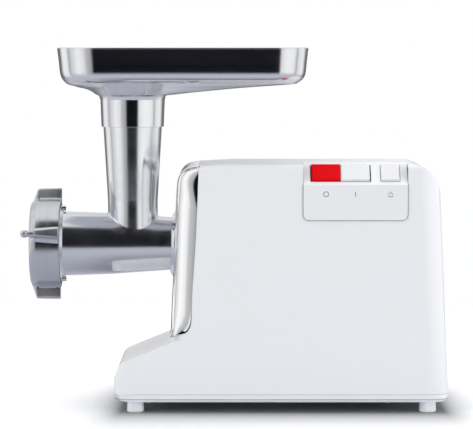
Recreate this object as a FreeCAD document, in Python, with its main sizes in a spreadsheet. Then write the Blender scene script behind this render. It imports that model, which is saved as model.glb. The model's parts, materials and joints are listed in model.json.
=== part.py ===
import FreeCAD, Part
import Sketcher
import math
import os
from types import SimpleNamespace
from FreeCAD import Placement, Rotation, Vector

# Electric meat grinder. Row frame: +Z up, X along the machine with the grinding head at -X,
# origin on the ground below the middle of the whole machine. Millimetres and degrees.

driving = {
    # housing and base
    "topZ": 243.5, "seamZ": 18.0, "baseBottomZ": 10.0, "bodyHalfWidth": 70.0,
    "rearX": 210.5, "rearTopX": 200.5, "rearTopRadius": 32.0, "cornerRadius": 20.0, "edgeRadius": 6.0,
    "frontBottomX": -63.0, "frontBottomZ": 76.5, "frontTopX": -53.2, "frontTopZ": 240.5,
    "frontTopRadius": 18.0, "frontCornerRadius": 16.0, "crownX": 0.0,
    "slopeTopX": -58.0, "slopeTopZ": 70.5, "slopeEndX": -112.0, "slopeEndZ": 48.5,
    "noseX": -118.4, "noseShoulderZ": 33.0, "noseRadius": 18.0,
    "wall": 3.0, "faceThick": 2.0, "faceGap": 0.3, "faceBackWall": 2.7,
    "baseFrontX": -115.0, "baseThick": 3.0, "postRadius": 5.0, "postY": 59.5, "postTopZ": 40.0,
    "frontPostX": -85.0, "rearPostX": 150.0,
    "glandZ": 60.0, "footRadius": 8.3, "footFrontX": -97.3, "footRearX": 189.8, "footY": 57.0,
    # control panel
    "panelLeftX": 67.0, "panelRightX": 169.0, "panelBottomZ": 188.8, "panelThick": 2.5,
    "panelSideY": -70.9, "panelBreakZ": 223.5, "panelSlope": 21.5, "panelTopY": -28.0,
    "rockerX": 103.6, "rockerLength": 56.8, "rockerWidth": 21.0, "rockerProud": 2.6, "rockerSink": 5.4,
    "buttonX": 152.0, "buttonLength": 18.5, "panelCorner": 6.0,
    # grinding head
    "headAxisZ": 161.4, "barrelFrontX": -198.0, "barrelRadius": 32.1, "barrelMidX": -121.5,
    "barrelMidRadius": 30.4, "barrelRearRadius": 26.1, "shoulderX": -54.0, "tailRadius": 24.0,
    "tailEndX": -24.0, "flangeRadius": 39.0, "flangeRearX": -176.0,
    "boreFrontRadius": 27.2, "boreRearRadius": 20.6, "boreEndX": -36.0, "recessRadius": 35.15,
    "recessX": -192.3, "neckX": -101.6, "neckTopZ": 303.0, "neckTopRadius": 29.1, "neckBendZ": 205.0,
    "neckLowRadius": 24.8, "throatTopRadius": 25.8, "throatLowRadius": 21.5,
    # ring nut, plate, knife, auger
    "ringFrontX": -203.0, "ringRearX": -173.4, "ringRadius": 43.6, "ringBore": 39.3, "ringLip": 3.5,
    "ringMouth": 31.5, "earReach": 56.0, "earTilt": 15.0,
    "plateRadius": 35.0, "plateThick": 7.0, "plateHole": 2.25, "plateHoleStep": 6.4,
    "knifeThick": 4.9, "knifeReach": 26.6, "augerCore": 10.5, "augerPitch": 34.0, "augerGap": 0.7,
    "journalRadius": 9.0, "squareDrive": 12.6, "knifeSquare": 10.0, "pinRadius": 4.0,
    # tray
    "trayLeftX": -174.0, "trayRightX": 72.5, "trayHalfWidth": 85.0, "trayRimZ": 357.0,
    "trayFrontCorner": 42.0, "trayRearCorner": 33.0, "traySheet": 1.6,
    "collarTopZ": 309.0, "collarBottomZ": 279.5,
    "collarTopRadius": 33.9, "collarRadius": 30.9,
    # drive train
    "motorZ": 82.0, "firstAngle": 145.0, "module1": 0.9, "pinion1": 14, "gear1": 63,
    "module2": 1.25, "pinion2": 13, "gear2": 52, "module3": 1.75, "pinion3": 12, "gear3": 45,
    "boxFrontX": 0.0, "boxRearX": 46.0, "boxWall": 6.5, "boxRoom": 1.8, "plateWall": 4.0,
    "layshaftRadius": 4.0, "bushWall": 2.5, "bossLength": 8.0, "fitGap": 0.05,
    "hubRadius": 29.5, "hubFrontX": -53.6, "stopX": -21.0, "outputFlat": 13.0,
    "statorFrontX": 76.0, "statorRearX": 116.0, "statorHalf": 41.0, "statorBore": 22.7,
    "armatureRadius": 22.0, "commutatorRadius": 12.0,
    "lockX": -31.0, "lockRadius": 17.0, "lockReach": 84.9,
}

doc = FreeCAD.newDocument("meat_grinder")
sheet = doc.addObject("Spreadsheet::Sheet", "Sheet")


class Size:
    """A number that also carries its spreadsheet formula, so that a feature can be bound to it."""

    def __init__(self, value, formula):
        self.value = float(value)
        self.formula = formula

    def join(self, other, sign, value):
        return Size(value, f"({self.formula} {sign} {other.formula})")

    def __add__(self, other):
        other = toSize(other)
        return self.join(other, "+", self.value + other.value)

    def __sub__(self, other):
        other = toSize(other)
        return self.join(other, "-", self.value - other.value)

    def __mul__(self, other):
        other = toSize(other)
        return self.join(other, "*", self.value * other.value)

    def __truediv__(self, other):
        other = toSize(other)
        return self.join(other, "/", self.value / other.value)

    def __neg__(self):
        return Size(-self.value, f"(0 - {self.formula})")

    def __radd__(self, other):
        return toSize(other) + self

    def __rsub__(self, other):
        return toSize(other) - self

    def __rmul__(self, other):
        return toSize(other) * self


def toSize(number):
    return number if isinstance(number, Size) else Size(number, repr(float(number)))


def number(size):
    return toSize(size).value


for rowIndex, (alias, value) in enumerate(driving.items(), 1):
    sheet.set(f"A{rowIndex}", alias)
    sheet.set(f"B{rowIndex}", str(value))
    sheet.setAlias(f"B{rowIndex}", alias)
doc.recompute()
d = SimpleNamespace(**{alias: Size(sheet.get(alias), f"Sheet.{alias}") for alias in driving})

nodes = []


def keep(thing, label):
    """Marks a finished sub-part, whose label names its file."""
    thing.Label = label
    nodes.append(thing)
    return thing


def bind(thing, prop, size):
    """Sets a property and ties it to the sheet."""
    size = toSize(size)
    if "." not in prop:
        setattr(thing, prop, size.value)
    if "Sheet." in size.formula or "." in prop:
        thing.setExpression(prop, size.formula)


def place(thing, x=0.0, y=0.0, z=0.0):
    for letter, size in (("x", x), ("y", y), ("z", z)):
        bind(thing, f"Placement.Base.{letter}", size)


# ---------------------------------------------------------------- sketches and features

def newBody(name):
    return doc.addObject("PartDesign::Body", name)


def newSketch(body, plane, offset=(0, 0, 0)):
    sketch = body.newObject("Sketcher::SketchObject", f"{body.Name}_sketch")
    support = [o for o in body.Origin.OriginFeatures if o.Role == f"{plane}_Plane"][0]
    sketch.AttachmentSupport = (support, [""])
    sketch.MapMode = "FlatFace"
    for letter, size in zip("xyz", offset):
        bind(sketch, f"AttachmentOffset.Base.{letter}", size)
    return sketch


def pin(sketch, kind, geometry, end, size):
    """A driving distance from the sketch origin to one point, tied to the sheet."""
    size = toSize(size)
    index = sketch.addConstraint(Sketcher.Constraint(kind, -1, 1, geometry, end, size.value))
    if "Sheet." in size.formula:
        sketch.setExpression(f"Constraints[{index}]", size.formula)


def polygon(sketch, points):
    """A closed outline through the points, each one driven in both directions."""
    first = sketch.GeometryCount
    count = len(points)
    flat = [Vector(number(a), number(b), 0) for a, b in points]
    for i in range(count):
        sketch.addGeometry(Part.LineSegment(flat[i], flat[(i + 1) % count]), False)
    for i in range(count):
        sketch.addConstraint(Sketcher.Constraint("Coincident", first + i, 2, first + (i + 1) % count, 1))
        pin(sketch, "DistanceX", first + i, 1, points[i][0])
        pin(sketch, "DistanceY", first + i, 1, points[i][1])


def circle(sketch, centre, radius):
    """A driven circle."""
    middle = Vector(number(centre[0]), number(centre[1]), 0)
    index = sketch.addGeometry(Part.Circle(middle, Vector(0, 0, 1), number(radius)), False)
    pin(sketch, "DistanceX", index, 3, centre[0])
    pin(sketch, "DistanceY", index, 3, centre[1])
    radius = toSize(radius)
    held = sketch.addConstraint(Sketcher.Constraint("Radius", index, radius.value))
    if "Sheet." in radius.formula:
        sketch.setExpression(f"Constraints[{held}]", radius.formula)


def turn(body, points, cut=False, axis="H_Axis", offset=(0, 0, 0)):
    """Revolves a driven outline of (along, radius) points; cut=True removes it."""
    sketch = newSketch(body, "XZ", offset)
    polygon(sketch, points)
    kind = "PartDesign::Groove" if cut else "PartDesign::Revolution"
    feature = body.newObject(kind, f"{body.Name}_turn")
    feature.Profile = sketch
    feature.ReferenceAxis = (sketch, [axis])
    feature.Angle = 360
    return feature


def extrude(body, sketch, length, cut=False, both=False, back=False):
    """Pads or pockets a sketch."""
    feature = body.newObject("PartDesign::Pocket" if cut else "PartDesign::Pad", f"{body.Name}_run")
    feature.Profile = sketch
    bind(feature, "Length", length)
    feature.Midplane = both
    feature.Reversed = back
    return feature


def turnedPart(label, points, y=0.0, z=0.0, bore=None):
    """A piece turned about a line along X, with an optional plain bore of (from, to, radius)."""
    body = newBody(label)
    turn(body, points)
    if bore:
        start, stop, radius = bore
        turn(body, [(start, 0), (stop, 0), (stop, radius), (start, radius)], cut=True)
    place(body, 0, y, z)
    return keep(body, label)


def ringPoints(start, stop, inner, outer):
    return [(start, inner), (stop, inner), (stop, outer), (start, outer)]


def roundedPrism(name, plane, points, radii, length, start=0.0, both=False, lean=None):
    """A pad whose corners, given by index, are rounded; lean tips the pad's direction."""
    body = newBody(name)
    offset = (0, 0, start)
    sketch = newSketch(body, plane, offset)
    polygon(sketch, points)
    pad = extrude(body, sketch, length, both=both)
    if lean:
        pad.UseCustomVector = True
        pad.Direction = Vector(*lean)
        pad.AlongSketchNormal = True
    doc.recompute()
    for i, radius in radii.items():
        a, b = number(points[i][0]), number(points[i][1])
        roundEdges(body, radius, lambda edge: alongCorner(edge, plane, a, b, lean, start))
    return body


def roundEdges(body, radius, wanted):
    """Adds a fillet on the edges of the body's last feature that pass the test."""
    last = body.Tip
    names = [f"Edge{k}" for k, edge in enumerate(last.Shape.Edges, 1) if wanted(edge)]
    fillet = body.newObject("PartDesign::Fillet", f"{body.Name}_round")
    fillet.Base = (last, names)
    bind(fillet, "Radius", radius)
    body.Tip = fillet
    doc.recompute()
    return fillet


def alongCorner(edge, plane, a, b, lean, start):
    """True for the pad's edge that stands on the outline point (a, b)."""
    if len(edge.Vertexes) != 2:
        return False
    low, high = (vertex.Point for vertex in edge.Vertexes)
    if plane == "XY":
        if low.z > high.z:
            low, high = high, low
        if lean:
            rise = low.z - number(start)
            low = low - Vector(*lean) * (rise / lean[2])
        flat = (low.x, low.y)
        runs = abs(high.z - low.z) > 1
    elif plane == "XZ":
        flat = (low.x, low.z)
        runs = abs(high.y - low.y) > 1
    else:
        flat = (low.y, low.z)
        runs = abs(high.x - low.x) > 1
    return runs and math.hypot(flat[0] - a, flat[1] - b) < 0.05


def combine(kind, name, parts):
    """A boolean of several document objects."""
    if kind == "Part::Cut":
        thing = doc.addObject(kind, name)
        thing.Base, thing.Tool = parts
        return thing
    thing = doc.addObject(kind, name)
    thing.Shapes = parts
    return thing


def boxPart(name, x, y, z, length, width, height):
    """A plain block with its lowest corner at x, y, z."""
    block = doc.addObject("Part::Box", name)
    bind(block, "Length", length)
    bind(block, "Width", width)
    bind(block, "Height", height)
    place(block, x, y, z)
    return block


def barAlongY(name, x, y, z, radius, length):
    """A round bar from y towards +Y."""
    bar = doc.addObject("Part::Cylinder", name)
    bind(bar, "Radius", radius)
    bind(bar, "Height", length)
    bar.Placement.Rotation = Rotation(Vector(1, 0, 0), -90)
    place(bar, x, y, z)
    return bar


def barAlongX(name, x, y, z, radius, length):
    bar = doc.addObject("Part::Cylinder", name)
    bind(bar, "Radius", radius)
    bind(bar, "Height", length)
    bar.Placement.Rotation = Rotation(Vector(0, 1, 0), 90)
    place(bar, x, y, z)
    return bar


def post(name, x, y, z, radius, height):
    bar = doc.addObject("Part::Cylinder", name)
    bind(bar, "Radius", radius)
    bind(bar, "Height", height)
    place(bar, x, y, z)
    return bar


def shapePart(label, shape, y=0.0, z=0.0):
    """A piece whose shape comes straight from Part's own functions."""
    feature = doc.addObject("Part::Feature", label)
    feature.Shape = shape
    feature.Placement = Placement(Vector(0, number(y), number(z)), Rotation())
    return keep(feature, label)


# ---------------------------------------------------------------- housing

def frontX(z):
    """Where the leaning front stands at height z."""
    rise = (z - number(d.frontBottomZ)) / number(d.frontTopZ - d.frontBottomZ)
    return number(d.frontBottomX) + rise * number(d.frontTopX - d.frontBottomX)


frontLean = Vector(number(d.frontTopX - d.frontBottomX), 0, number(d.frontTopZ - d.frontBottomZ)).normalize()
rearLean = Vector(number(d.rearTopX - d.rearX), 0, number(d.topZ - d.seamZ)).normalize()


def upperBlank(tag, inset, floorZ):
    """The tall part of the housing as a solid, its faces set in by inset."""
    footX = frontX(number(floorZ))
    side = roundedPrism(
        f"upper_side_{tag}", "XZ",
        [(d.rearX - inset, floorZ), (d.rearTopX - inset, d.topZ - inset), (d.crownX, d.topZ - inset),
         (d.frontTopX + inset, d.frontTopZ - inset), (footX + inset, floorZ)],
        {1: d.rearTopRadius - inset, 3: d.frontTopRadius - inset}, 400, both=True)
    half = d.bodyHalfWidth - inset
    across = roundedPrism(
        f"upper_across_{tag}", "YZ",
        [(-half, floorZ - 5), (half, floorZ - 5), (half, d.topZ - inset + 0.01),
         (-half, d.topZ - inset + 0.01)],
        {2: d.edgeRadius - inset * 0.7, 3: d.edgeRadius - inset * 0.7}, 600, both=True)
    front = roundedPrism(
        f"upper_front_{tag}", "XY",
        [(footX + inset, -half), (400, -half), (400, half), (footX + inset, half)],
        {0: d.frontCornerRadius - inset, 3: d.frontCornerRadius - inset}, 300, start=floorZ, lean=frontLean)
    rear = roundedPrism(
        f"upper_rear_{tag}", "XY",
        [(-400, -half), (d.rearX - inset, -half), (d.rearX - inset, half), (-400, half)],
        {1: d.cornerRadius - inset, 2: d.cornerRadius - inset}, 300, start=floorZ, lean=rearLean)
    return combine("Part::MultiCommon", f"upper_blank_{tag}", [side, across, front, rear])


def noseBlank(tag, inset, floorZ):
    """The low front foot of the housing as a solid."""
    half = d.bodyHalfWidth - inset
    side = roundedPrism(
        f"nose_side_{tag}", "XZ",
        [(0, floorZ), (0, d.slopeTopZ + 6 - inset), (d.slopeTopX, d.slopeTopZ - inset),
         (d.slopeEndX + inset * 0.5, d.slopeEndZ - inset), (d.noseX + inset, d.noseShoulderZ),
         (d.noseX + inset, floorZ)],
        {3: 9.0, 4: 8.0}, 400, both=True)
    plan = roundedPrism(
        f"nose_plan_{tag}", "XY",
        [(d.noseX + inset, -half), (50, -half), (50, half), (d.noseX + inset, half)],
        {0: d.noseRadius - inset, 3: d.noseRadius - inset}, 100, start=floorZ)
    return combine("Part::MultiCommon", f"nose_blank_{tag}", [side, plan])


def seamPrism(name, shift):
    """The region in front of the joint between faceplate and housing, moved back by shift."""
    points = [(-34.5, 256), (-37.0, 209), (-42.0, 111), (-43.5, 96), (-45.5, 87), (-50.5, 79.6),
              (-63.0, d.frontBottomZ + 0.2), (-90, d.frontBottomZ + 0.2), (-90, 256)]
    moved = [(toSize(x) + shift, z) for x, z in points]
    return roundedPrism(name, "XZ", moved, {}, 400, both=True)


def buildHousing():
    deep = d.faceThick + d.faceGap
    outer = upperBlank("outer", 0.0, d.seamZ)
    nose = noseBlank("outer", 0.0, d.seamZ)
    roomUpper = upperBlank("room", d.wall, d.seamZ - 4)
    roomFace = upperBlank("face_room", deep + d.faceBackWall, d.seamZ - 4)
    roomNose = noseBlank("room", d.wall, d.seamZ - 4)
    faceBack = upperBlank("face_back", deep, d.seamZ - 4)
    faceInner = upperBlank("face_inner", d.faceThick, d.seamZ - 4)
    seam = seamPrism("seam_region", 0.0)
    seamFace = seamPrism("seam_face", -0.35)
    recess = combine("Part::Cut", "face_recess", (seam, faceBack))
    roomRear = combine("Part::Cut", "room_rear", (roomUpper, seam))
    room = combine("Part::MultiFuse", "room", [roomRear, roomFace, roomNose])
    body = combine("Part::MultiFuse", "housing_body", [outer, nose])
    shell = combine("Part::Cut", "housing_shell", (body, recess))
    hollow = combine("Part::Cut", "housing_hollow", (shell, room))
    posts = [
        post(f"screw_post_{k}", x, y, d.seamZ - 4.8, d.postRadius, d.postTopZ - d.seamZ + 4.8)
        for k, (x, y) in enumerate(postPlaces())
    ]
    ribs = [
        boxPart(f"post_rib_{k}", x - 1.5, y if y.value > 0 else y - 8.5, d.seamZ + 0.5,
                3, 8.5, d.postTopZ - d.seamZ - 0.5)
        for k, (x, y) in enumerate(postPlaces())
    ]
    strong = combine("Part::MultiFuse", "housing_strong", [hollow] + posts + ribs)
    cuts = [
        post(f"post_hole_{k}", x, y, d.seamZ - 8, 1.85, 22)
        for k, (x, y) in enumerate(postPlaces())
    ]
    cuts.append(barAlongX("hub_hole", -80, 0, d.headAxisZ, d.hubRadius + 0.7, 60))
    cuts.append(barAlongY("lock_hole", d.lockX, 50, d.headAxisZ, 4.6, 40))
    cuts.append(barAlongX("gland_hole", 190, 30, d.glandZ, 6.5, 40))
    cuts.extend(panelRebate())
    cuts.extend(
        boxPart(f"rear_vent_{k}", 185, -27 + 9 * k, 118, 40, 4, 46) for k in range(7)
    )
    tools = combine("Part::MultiFuse", "housing_cuts", cuts)
    keep(combine("Part::Cut", "upper_housing", (strong, tools)), "upper_housing")

    plateRing = combine("Part::Cut", "face_skin", (outer, faceInner))
    skin = combine("Part::MultiCommon", "face_cap", [plateRing, seamFace])
    mouth = barAlongX("face_mouth", -90, 0, d.headAxisZ, d.barrelRearRadius + 0.8, 60)
    keep(combine("Part::Cut", "faceplate", (skin, mouth)), "faceplate")


def postPlaces():
    return [(x, y) for x in (d.frontPostX, d.rearPostX) for y in (-d.postY, d.postY)]


def panelOutline(tag, gap):
    """The panel's outline in side view, its two lower corners round, wider by gap."""
    left, right, low = d.panelLeftX - gap, d.panelRightX + gap, d.panelBottomZ - gap
    radius = d.panelCorner + gap
    return roundedPrism(f"panel_outline_{tag}", "XZ", [(left, low), (right, low), (right, 280), (left, 280)],
                        {0: radius, 1: radius}, 200, both=True)


def panelRebate():
    """Cuts for the control panel: a shallow seat and the window behind it."""
    sideY = d.panelSideY + d.panelThick + 0.1
    slopeY = d.panelSideY + d.panelSlope
    topZ = d.panelBreakZ + d.panelSlope
    back = d.panelThick + 0.1
    seatPoints = [(-90, d.panelBottomZ - 0.2), (sideY, d.panelBottomZ - 0.2),
                  (sideY, d.panelBreakZ - back * 0.41), (slopeY + back * 0.41, topZ - back),
                  (d.panelTopY + 0.2, topZ - back),
                  (d.panelTopY + 0.2, 270), (-90, 270)]
    seat = roundedPrism("panel_seat", "YZ", seatPoints, {}, d.panelRightX - d.panelLeftX + 0.4,
                        start=d.panelLeftX - 0.2)
    window = roundedPrism(
        "panel_window", "YZ",
        [(-90, d.panelBottomZ + 3), (-60, d.panelBottomZ + 3), (-32, d.panelBreakZ + 12),
         (-32, 270), (-90, 270)], {},
        d.panelRightX - d.panelLeftX - 6, start=d.panelLeftX + 3)
    return [combine("Part::MultiCommon", "panel_seat_round", (seat, panelOutline("seat", 0.2))), window]


def buildBase():
    """Base pan with an upstand rim, screw bosses for the feet and air slots."""
    half = d.bodyHalfWidth - 0.5
    corners = {k: d.noseRadius for k in range(4)}
    outline = [(d.baseFrontX, -half), (d.rearX - 0.5, -half), (d.rearX - 0.5, half), (d.baseFrontX, half)]
    block = roundedPrism("base_block", "XY", outline, corners, d.seamZ - d.baseBottomZ - 0.3,
                         start=d.baseBottomZ)
    floor = number(d.baseBottomZ) + 0.01
    roundEdges(block, 4.5, lambda edge: max(vertex.Z for vertex in edge.Vertexes) < floor)
    inset = d.wall + 1.5
    inner = [(d.baseFrontX + inset, -(half - inset)), (d.rearX - 0.5 - inset, -(half - inset)),
             (d.rearX - 0.5 - inset, half - inset), (d.baseFrontX + inset, half - inset)]
    room = roundedPrism("base_room", "XY", inner, {k: d.noseRadius - inset for k in range(4)}, 20,
                        start=d.baseBottomZ + d.baseThick)
    pan = combine("Part::Cut", "base_pan", (block, room))
    bosses = [post(f"foot_boss_{k}", x, y, d.baseBottomZ, 5.5, 14)
              for k, (x, y) in enumerate(footPlaces())]
    solid = combine("Part::MultiFuse", "base_solid", [pan] + bosses)
    holes = [post(f"foot_hole_{k}", x, y, d.baseBottomZ - 1, 1.85, 12)
             for k, (x, y) in enumerate(footPlaces())]
    for k, (x, y) in enumerate(postPlaces()):
        holes.append(post(f"base_hole_{k}", x, y, d.baseBottomZ - 1, 2.2, 8))
        holes.append(post(f"base_counter_{k}", x, y, d.baseBottomZ - 1, 4.0, 2.2))
    for k in range(8):
        holes.append(boxPart(f"base_slot_{k}", 70 + 10 * k, -30, 5, 4, 60, 20))
    tools = combine("Part::MultiFuse", "base_cuts", holes)
    keep(combine("Part::Cut", "base_plate", (solid, tools)), "base_plate")


def footPlaces():
    return [(x, y) for x in (d.footFrontX, d.footRearX) for y in (-d.footY, d.footY)]


def buildFeet():
    names = ("foot_front_right", "foot_front_left", "foot_rear_right", "foot_rear_left")
    for name, (x, y) in zip(names, footPlaces()):
        body = newBody(name)
        radius = d.footRadius
        outline = [(0, 0), (radius - 0.8, 0), (radius, 0.8), (radius - 0.4, d.baseBottomZ - 0.05),
                   (0, d.baseBottomZ - 0.05)]
        turn(body, outline, axis="V_Axis")
        turn(body, [(0, -1), (4.2, -1), (4.2, 4), (2.0, 4), (2.0, 12), (0, 12)], cut=True, axis="V_Axis")
        place(body, x, y, 0)
        keep(body, name)


def screws(label, places, direction, shank, length, head, headHeight):
    """Plain pan-head screws as separate solids; each place is the underside of the head."""
    solids = []
    axis = Vector(*direction)
    for corner in places:
        spot = Vector(*(number(c) for c in corner))
        stem = Part.makeCylinder(shank, length, spot, axis)
        cap = Part.makeCylinder(head, headHeight, spot - axis * headHeight, axis)
        dome = max(cap.Edges, key=lambda edge: -axis.dot(edge.CenterOfMass))
        cap = cap.makeFillet(headHeight * 0.4, [dome])
        slot = Part.makeBox(head * 1.2, 0.8, 0.8, Vector(-head * 0.6, -0.4, 0))
        slot.Placement = Placement(spot - axis * (headHeight + 0.2), Rotation(Vector(0, 0, 1), axis))
        solids.append(stem.fuse(cap).cut(slot).removeSplitter())
    feature = doc.addObject("Part::Feature", label)
    feature.Shape = Part.makeCompound(solids)
    return keep(feature, label)


# ---------------------------------------------------------------- control panel

slopeAngle = 45.0
panelCentre = Vector(0, number(d.panelSideY + d.panelSlope / 2), number(d.panelBreakZ + d.panelSlope / 2))


def onSlope(thing, x=0.0, y=0.0, z=0.0):
    """Places a piece in the panel's sloping frame: x along, y up the slope, z outwards."""
    turnX = Rotation(Vector(1, 0, 0), slopeAngle)
    base = panelCentre + turnX.multVec(Vector(0, number(y), number(z))) + Vector(number(x), 0, 0)
    thing.Placement = Placement(base, turnX)
    return thing


def slopeBlock(name, x, y, z, length, width, height):
    """A block in the sloping frame, centred on x and y, from z upwards."""
    block = doc.addObject("Part::Box", name)
    bind(block, "Length", length)
    bind(block, "Width", width)
    bind(block, "Height", height)
    return onSlope(block, x - toSize(length) / 2, y - toSize(width) / 2, z)


def roundedBlock(name, x, z, length, width, height, radius):
    """A block in the sloping frame with its long outer edges rounded."""
    body = newBody(name)
    sketch = newSketch(body, "XY")
    halfX, halfY = toSize(length) / 2, toSize(width) / 2
    polygon(sketch, [(-halfX, -halfY), (halfX, -halfY), (halfX, halfY), (-halfX, halfY)])
    extrude(body, sketch, height)
    doc.recompute()
    top = number(height) - 0.01
    roundEdges(body, radius, lambda edge: min(vertex.Z for vertex in edge.Vertexes) > top)
    onSlope(body, x, 0, z)
    return body


def buildPanel():
    thick = d.panelThick
    slopeY, topZ = d.panelSideY + d.panelSlope, d.panelBreakZ + d.panelSlope
    outline = [(d.panelSideY, d.panelBottomZ), (d.panelSideY, d.panelBreakZ), (slopeY, topZ),
               (d.panelTopY, topZ), (d.panelTopY, topZ - thick), (slopeY + thick * 0.41, topZ - thick),
               (d.panelSideY + thick, d.panelBreakZ - thick * 0.41), (d.panelSideY + thick, d.panelBottomZ)]
    sheetBody = roundedPrism("panel_sheet", "YZ", outline, {}, d.panelRightX - d.panelLeftX,
                             start=d.panelLeftX)
    plate = combine("Part::MultiCommon", "panel_round", (sheetBody, panelOutline("sheet", 0.0)))
    cuts = [
        slopeBlock("rocker_window", d.rockerX, 0, -20, d.rockerLength + 2.4, d.rockerWidth + 1.2, 40),
        slopeBlock("button_window", d.buttonX, 0, -20, d.buttonLength + 0.8, d.rockerWidth + 0.8, 40),
    ]
    tools = combine("Part::MultiFuse", "panel_cuts", cuts)
    keep(combine("Part::Cut", "control_panel", (plate, tools)), "control_panel")


def buildRocker():
    """Two-colour rocker key on a pin across its middle, above the switch body."""
    half = d.rockerLength / 2
    height = d.rockerProud + d.rockerSink
    pinDepth = 3.0
    for label, side in (("rocker_red_key", -1), ("rocker_white_key", 1)):
        body = roundedBlock(label + "_block", d.rockerX + (half / 2 + 0.1) * side, -d.rockerSink,
                            half - 0.2, d.rockerWidth, height, 1.2)
        hole = doc.addObject("Part::Cylinder", label + "_hole")
        hole.Radius = 2.05
        hole.Height = number(d.rockerWidth) + 10
        acrossSlope(hole, d.rockerX, -number(hole.Height) / 2, -pinDepth)
        keep(combine("Part::Cut", label, (body, hole)), label)
    rod = doc.addObject("Part::Cylinder", "rocker_pin")
    rod.Radius = 2.0
    rod.Height = number(d.rockerWidth) - 1
    acrossSlope(rod, d.rockerX, -number(rod.Height) / 2, -pinDepth)
    keep(rod, "rocker_pin")
    case = slopeBlock("switch_case", d.rockerX, 0, -32, 46, 19, 22)
    lugs = [slopeBlock(f"switch_tab_{k}", d.rockerX + x, 0, -40, 0.8, 6, 8.05)
            for k, x in enumerate((-15, 0, 15))]
    keep(combine("Part::MultiFuse", "switch_body", [case] + lugs), "switch_body")


def acrossSlope(thing, x, y, z):
    """Lays a cylinder up the slope, starting at y."""
    turnX = Rotation(Vector(1, 0, 0), slopeAngle)
    base = panelCentre + turnX.multVec(Vector(0, number(y), number(z))) + Vector(number(x), 0, 0)
    thing.Placement = Placement(base, turnX.multiply(Rotation(Vector(1, 0, 0), -90)))


def coil(radius, wire, height, turns):
    """A round-wire spring along Z from 0 to height."""
    helix = Part.makeHelix((height - 2 * wire) / turns, height - 2 * wire, radius)
    spine = Part.Wire(helix.Edges)
    section = Part.Wire(Part.makeCircle(wire, Vector(radius, 0, 0), Vector(0, 1, 0)))
    spring = Part.Solid(spine.makePipeShell([section], True, True))
    spring.translate(Vector(0, 0, wire))
    return spring


def buildBreaker():
    cap = roundedBlock("breaker_cap", d.buttonX, -4.0, d.buttonLength, d.rockerWidth, 6.4, 1.2)
    stem = doc.addObject("Part::Cylinder", "breaker_stem")
    stem.Radius = 2.0
    stem.Height = 10.0
    onSlope(stem, d.buttonX, 0, -13.9)
    pocket = doc.addObject("Part::Cylinder", "breaker_pocket")
    pocket.Radius = 4.5
    pocket.Height = 4.4
    onSlope(pocket, d.buttonX, 0, -5.0)
    hollowCap = combine("Part::Cut", "breaker_cap_hollow", (cap, pocket))
    keep(combine("Part::MultiFuse", "breaker_button", [hollowCap, stem]), "breaker_button")
    case = slopeBlock("breaker_case", d.buttonX, 0, -34, 16, 19, 22)
    well = doc.addObject("Part::Cylinder", "breaker_well")
    well.Radius = 2.3
    well.Height = 20.0
    onSlope(well, d.buttonX, 0, -30)
    keep(combine("Part::Cut", "breaker_body", (case, well)), "breaker_body")
    feature = doc.addObject("Part::Feature", "breaker_spring")
    feature.Shape = coil(3.6, 0.4, 7.2, 3)
    onSlope(feature, d.buttonX, 0, -11.5)
    keep(feature, "breaker_spring")


# ---------------------------------------------------------------- drive train

pressureAngle = math.radians(25)
toothThinning = 0.12
addendum, dedendum = 0.9, 1.2


def toothOutline(module, teeth, phase):
    """Closed wire of an involute spur gear with one tooth centred on the phase angle."""
    pitch = module * teeth / 2
    base = pitch * math.cos(pressureAngle)
    tip, root = pitch + addendum * module, pitch - dedendum * module
    start = max(base, root)
    halfTooth = math.pi / (2 * teeth) - toothThinning / (2 * pitch)
    involute = math.tan(pressureAngle) - pressureAngle

    def flankAngle(radius):
        roll = math.acos(min(1.0, base / radius))
        return halfTooth + involute - (math.tan(roll) - roll)

    radii = [start + (tip - start) * k / 5 for k in range(6)]
    edges = []
    step = 2 * math.pi / teeth

    def polar(radius, angle):
        return Vector(0, radius * math.cos(angle), radius * math.sin(angle))

    for k in range(teeth):
        middle = phase + k * step
        rising = [polar(r, middle - flankAngle(r)) for r in radii]
        falling = [polar(r, middle + flankAngle(r)) for r in reversed(radii)]
        foot = flankAngle(start)
        if root < start - 1e-6:
            edges.append(Part.makeLine(polar(root, middle - foot), rising[0]))
        flank = Part.BSplineCurve()
        flank.interpolate(rising)
        edges.append(flank.toShape())
        edges.append(Part.Arc(rising[-1], polar(tip, middle), falling[0]).toShape())
        back = Part.BSplineCurve()
        back.interpolate(falling)
        edges.append(back.toShape())
        if root < start - 1e-6:
            edges.append(Part.makeLine(falling[-1], polar(root, middle + foot)))
        nextFoot = middle + step - foot
        low = root if root < start - 1e-6 else start
        edges.append(Part.Arc(polar(low, middle + foot), polar(low, middle + step / 2),
                              polar(low, nextFoot)).toShape())
    return Part.Wire(edges)


def gearSolid(module, teeth, phase, x, width, bore):
    disc = Part.Face(toothOutline(module, teeth, phase)).extrude(Vector(width, 0, 0))
    disc.translate(Vector(x, 0, 0))
    return disc.cut(Part.makeCylinder(bore, width + 2, Vector(x - 1, 0, 0), Vector(1, 0, 0)))


def lightened(gear, x, width, rimRadius, hubRadius, web):
    """Turns the sides of a wide gear down to a web between hub and rim."""
    recess = (width - web) / 2
    for start in (x - 1, x + width - recess):
        ring = Part.makeCylinder(rimRadius, recess + 1, Vector(start, 0, 0), Vector(1, 0, 0))
        ring = ring.cut(Part.makeCylinder(hubRadius, recess + 1, Vector(start, 0, 0), Vector(1, 0, 0)))
        gear = gear.cut(ring)
    return gear


def centreDistance(module, small, big):
    return number(module) * (number(small) + number(big)) / 2


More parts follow.
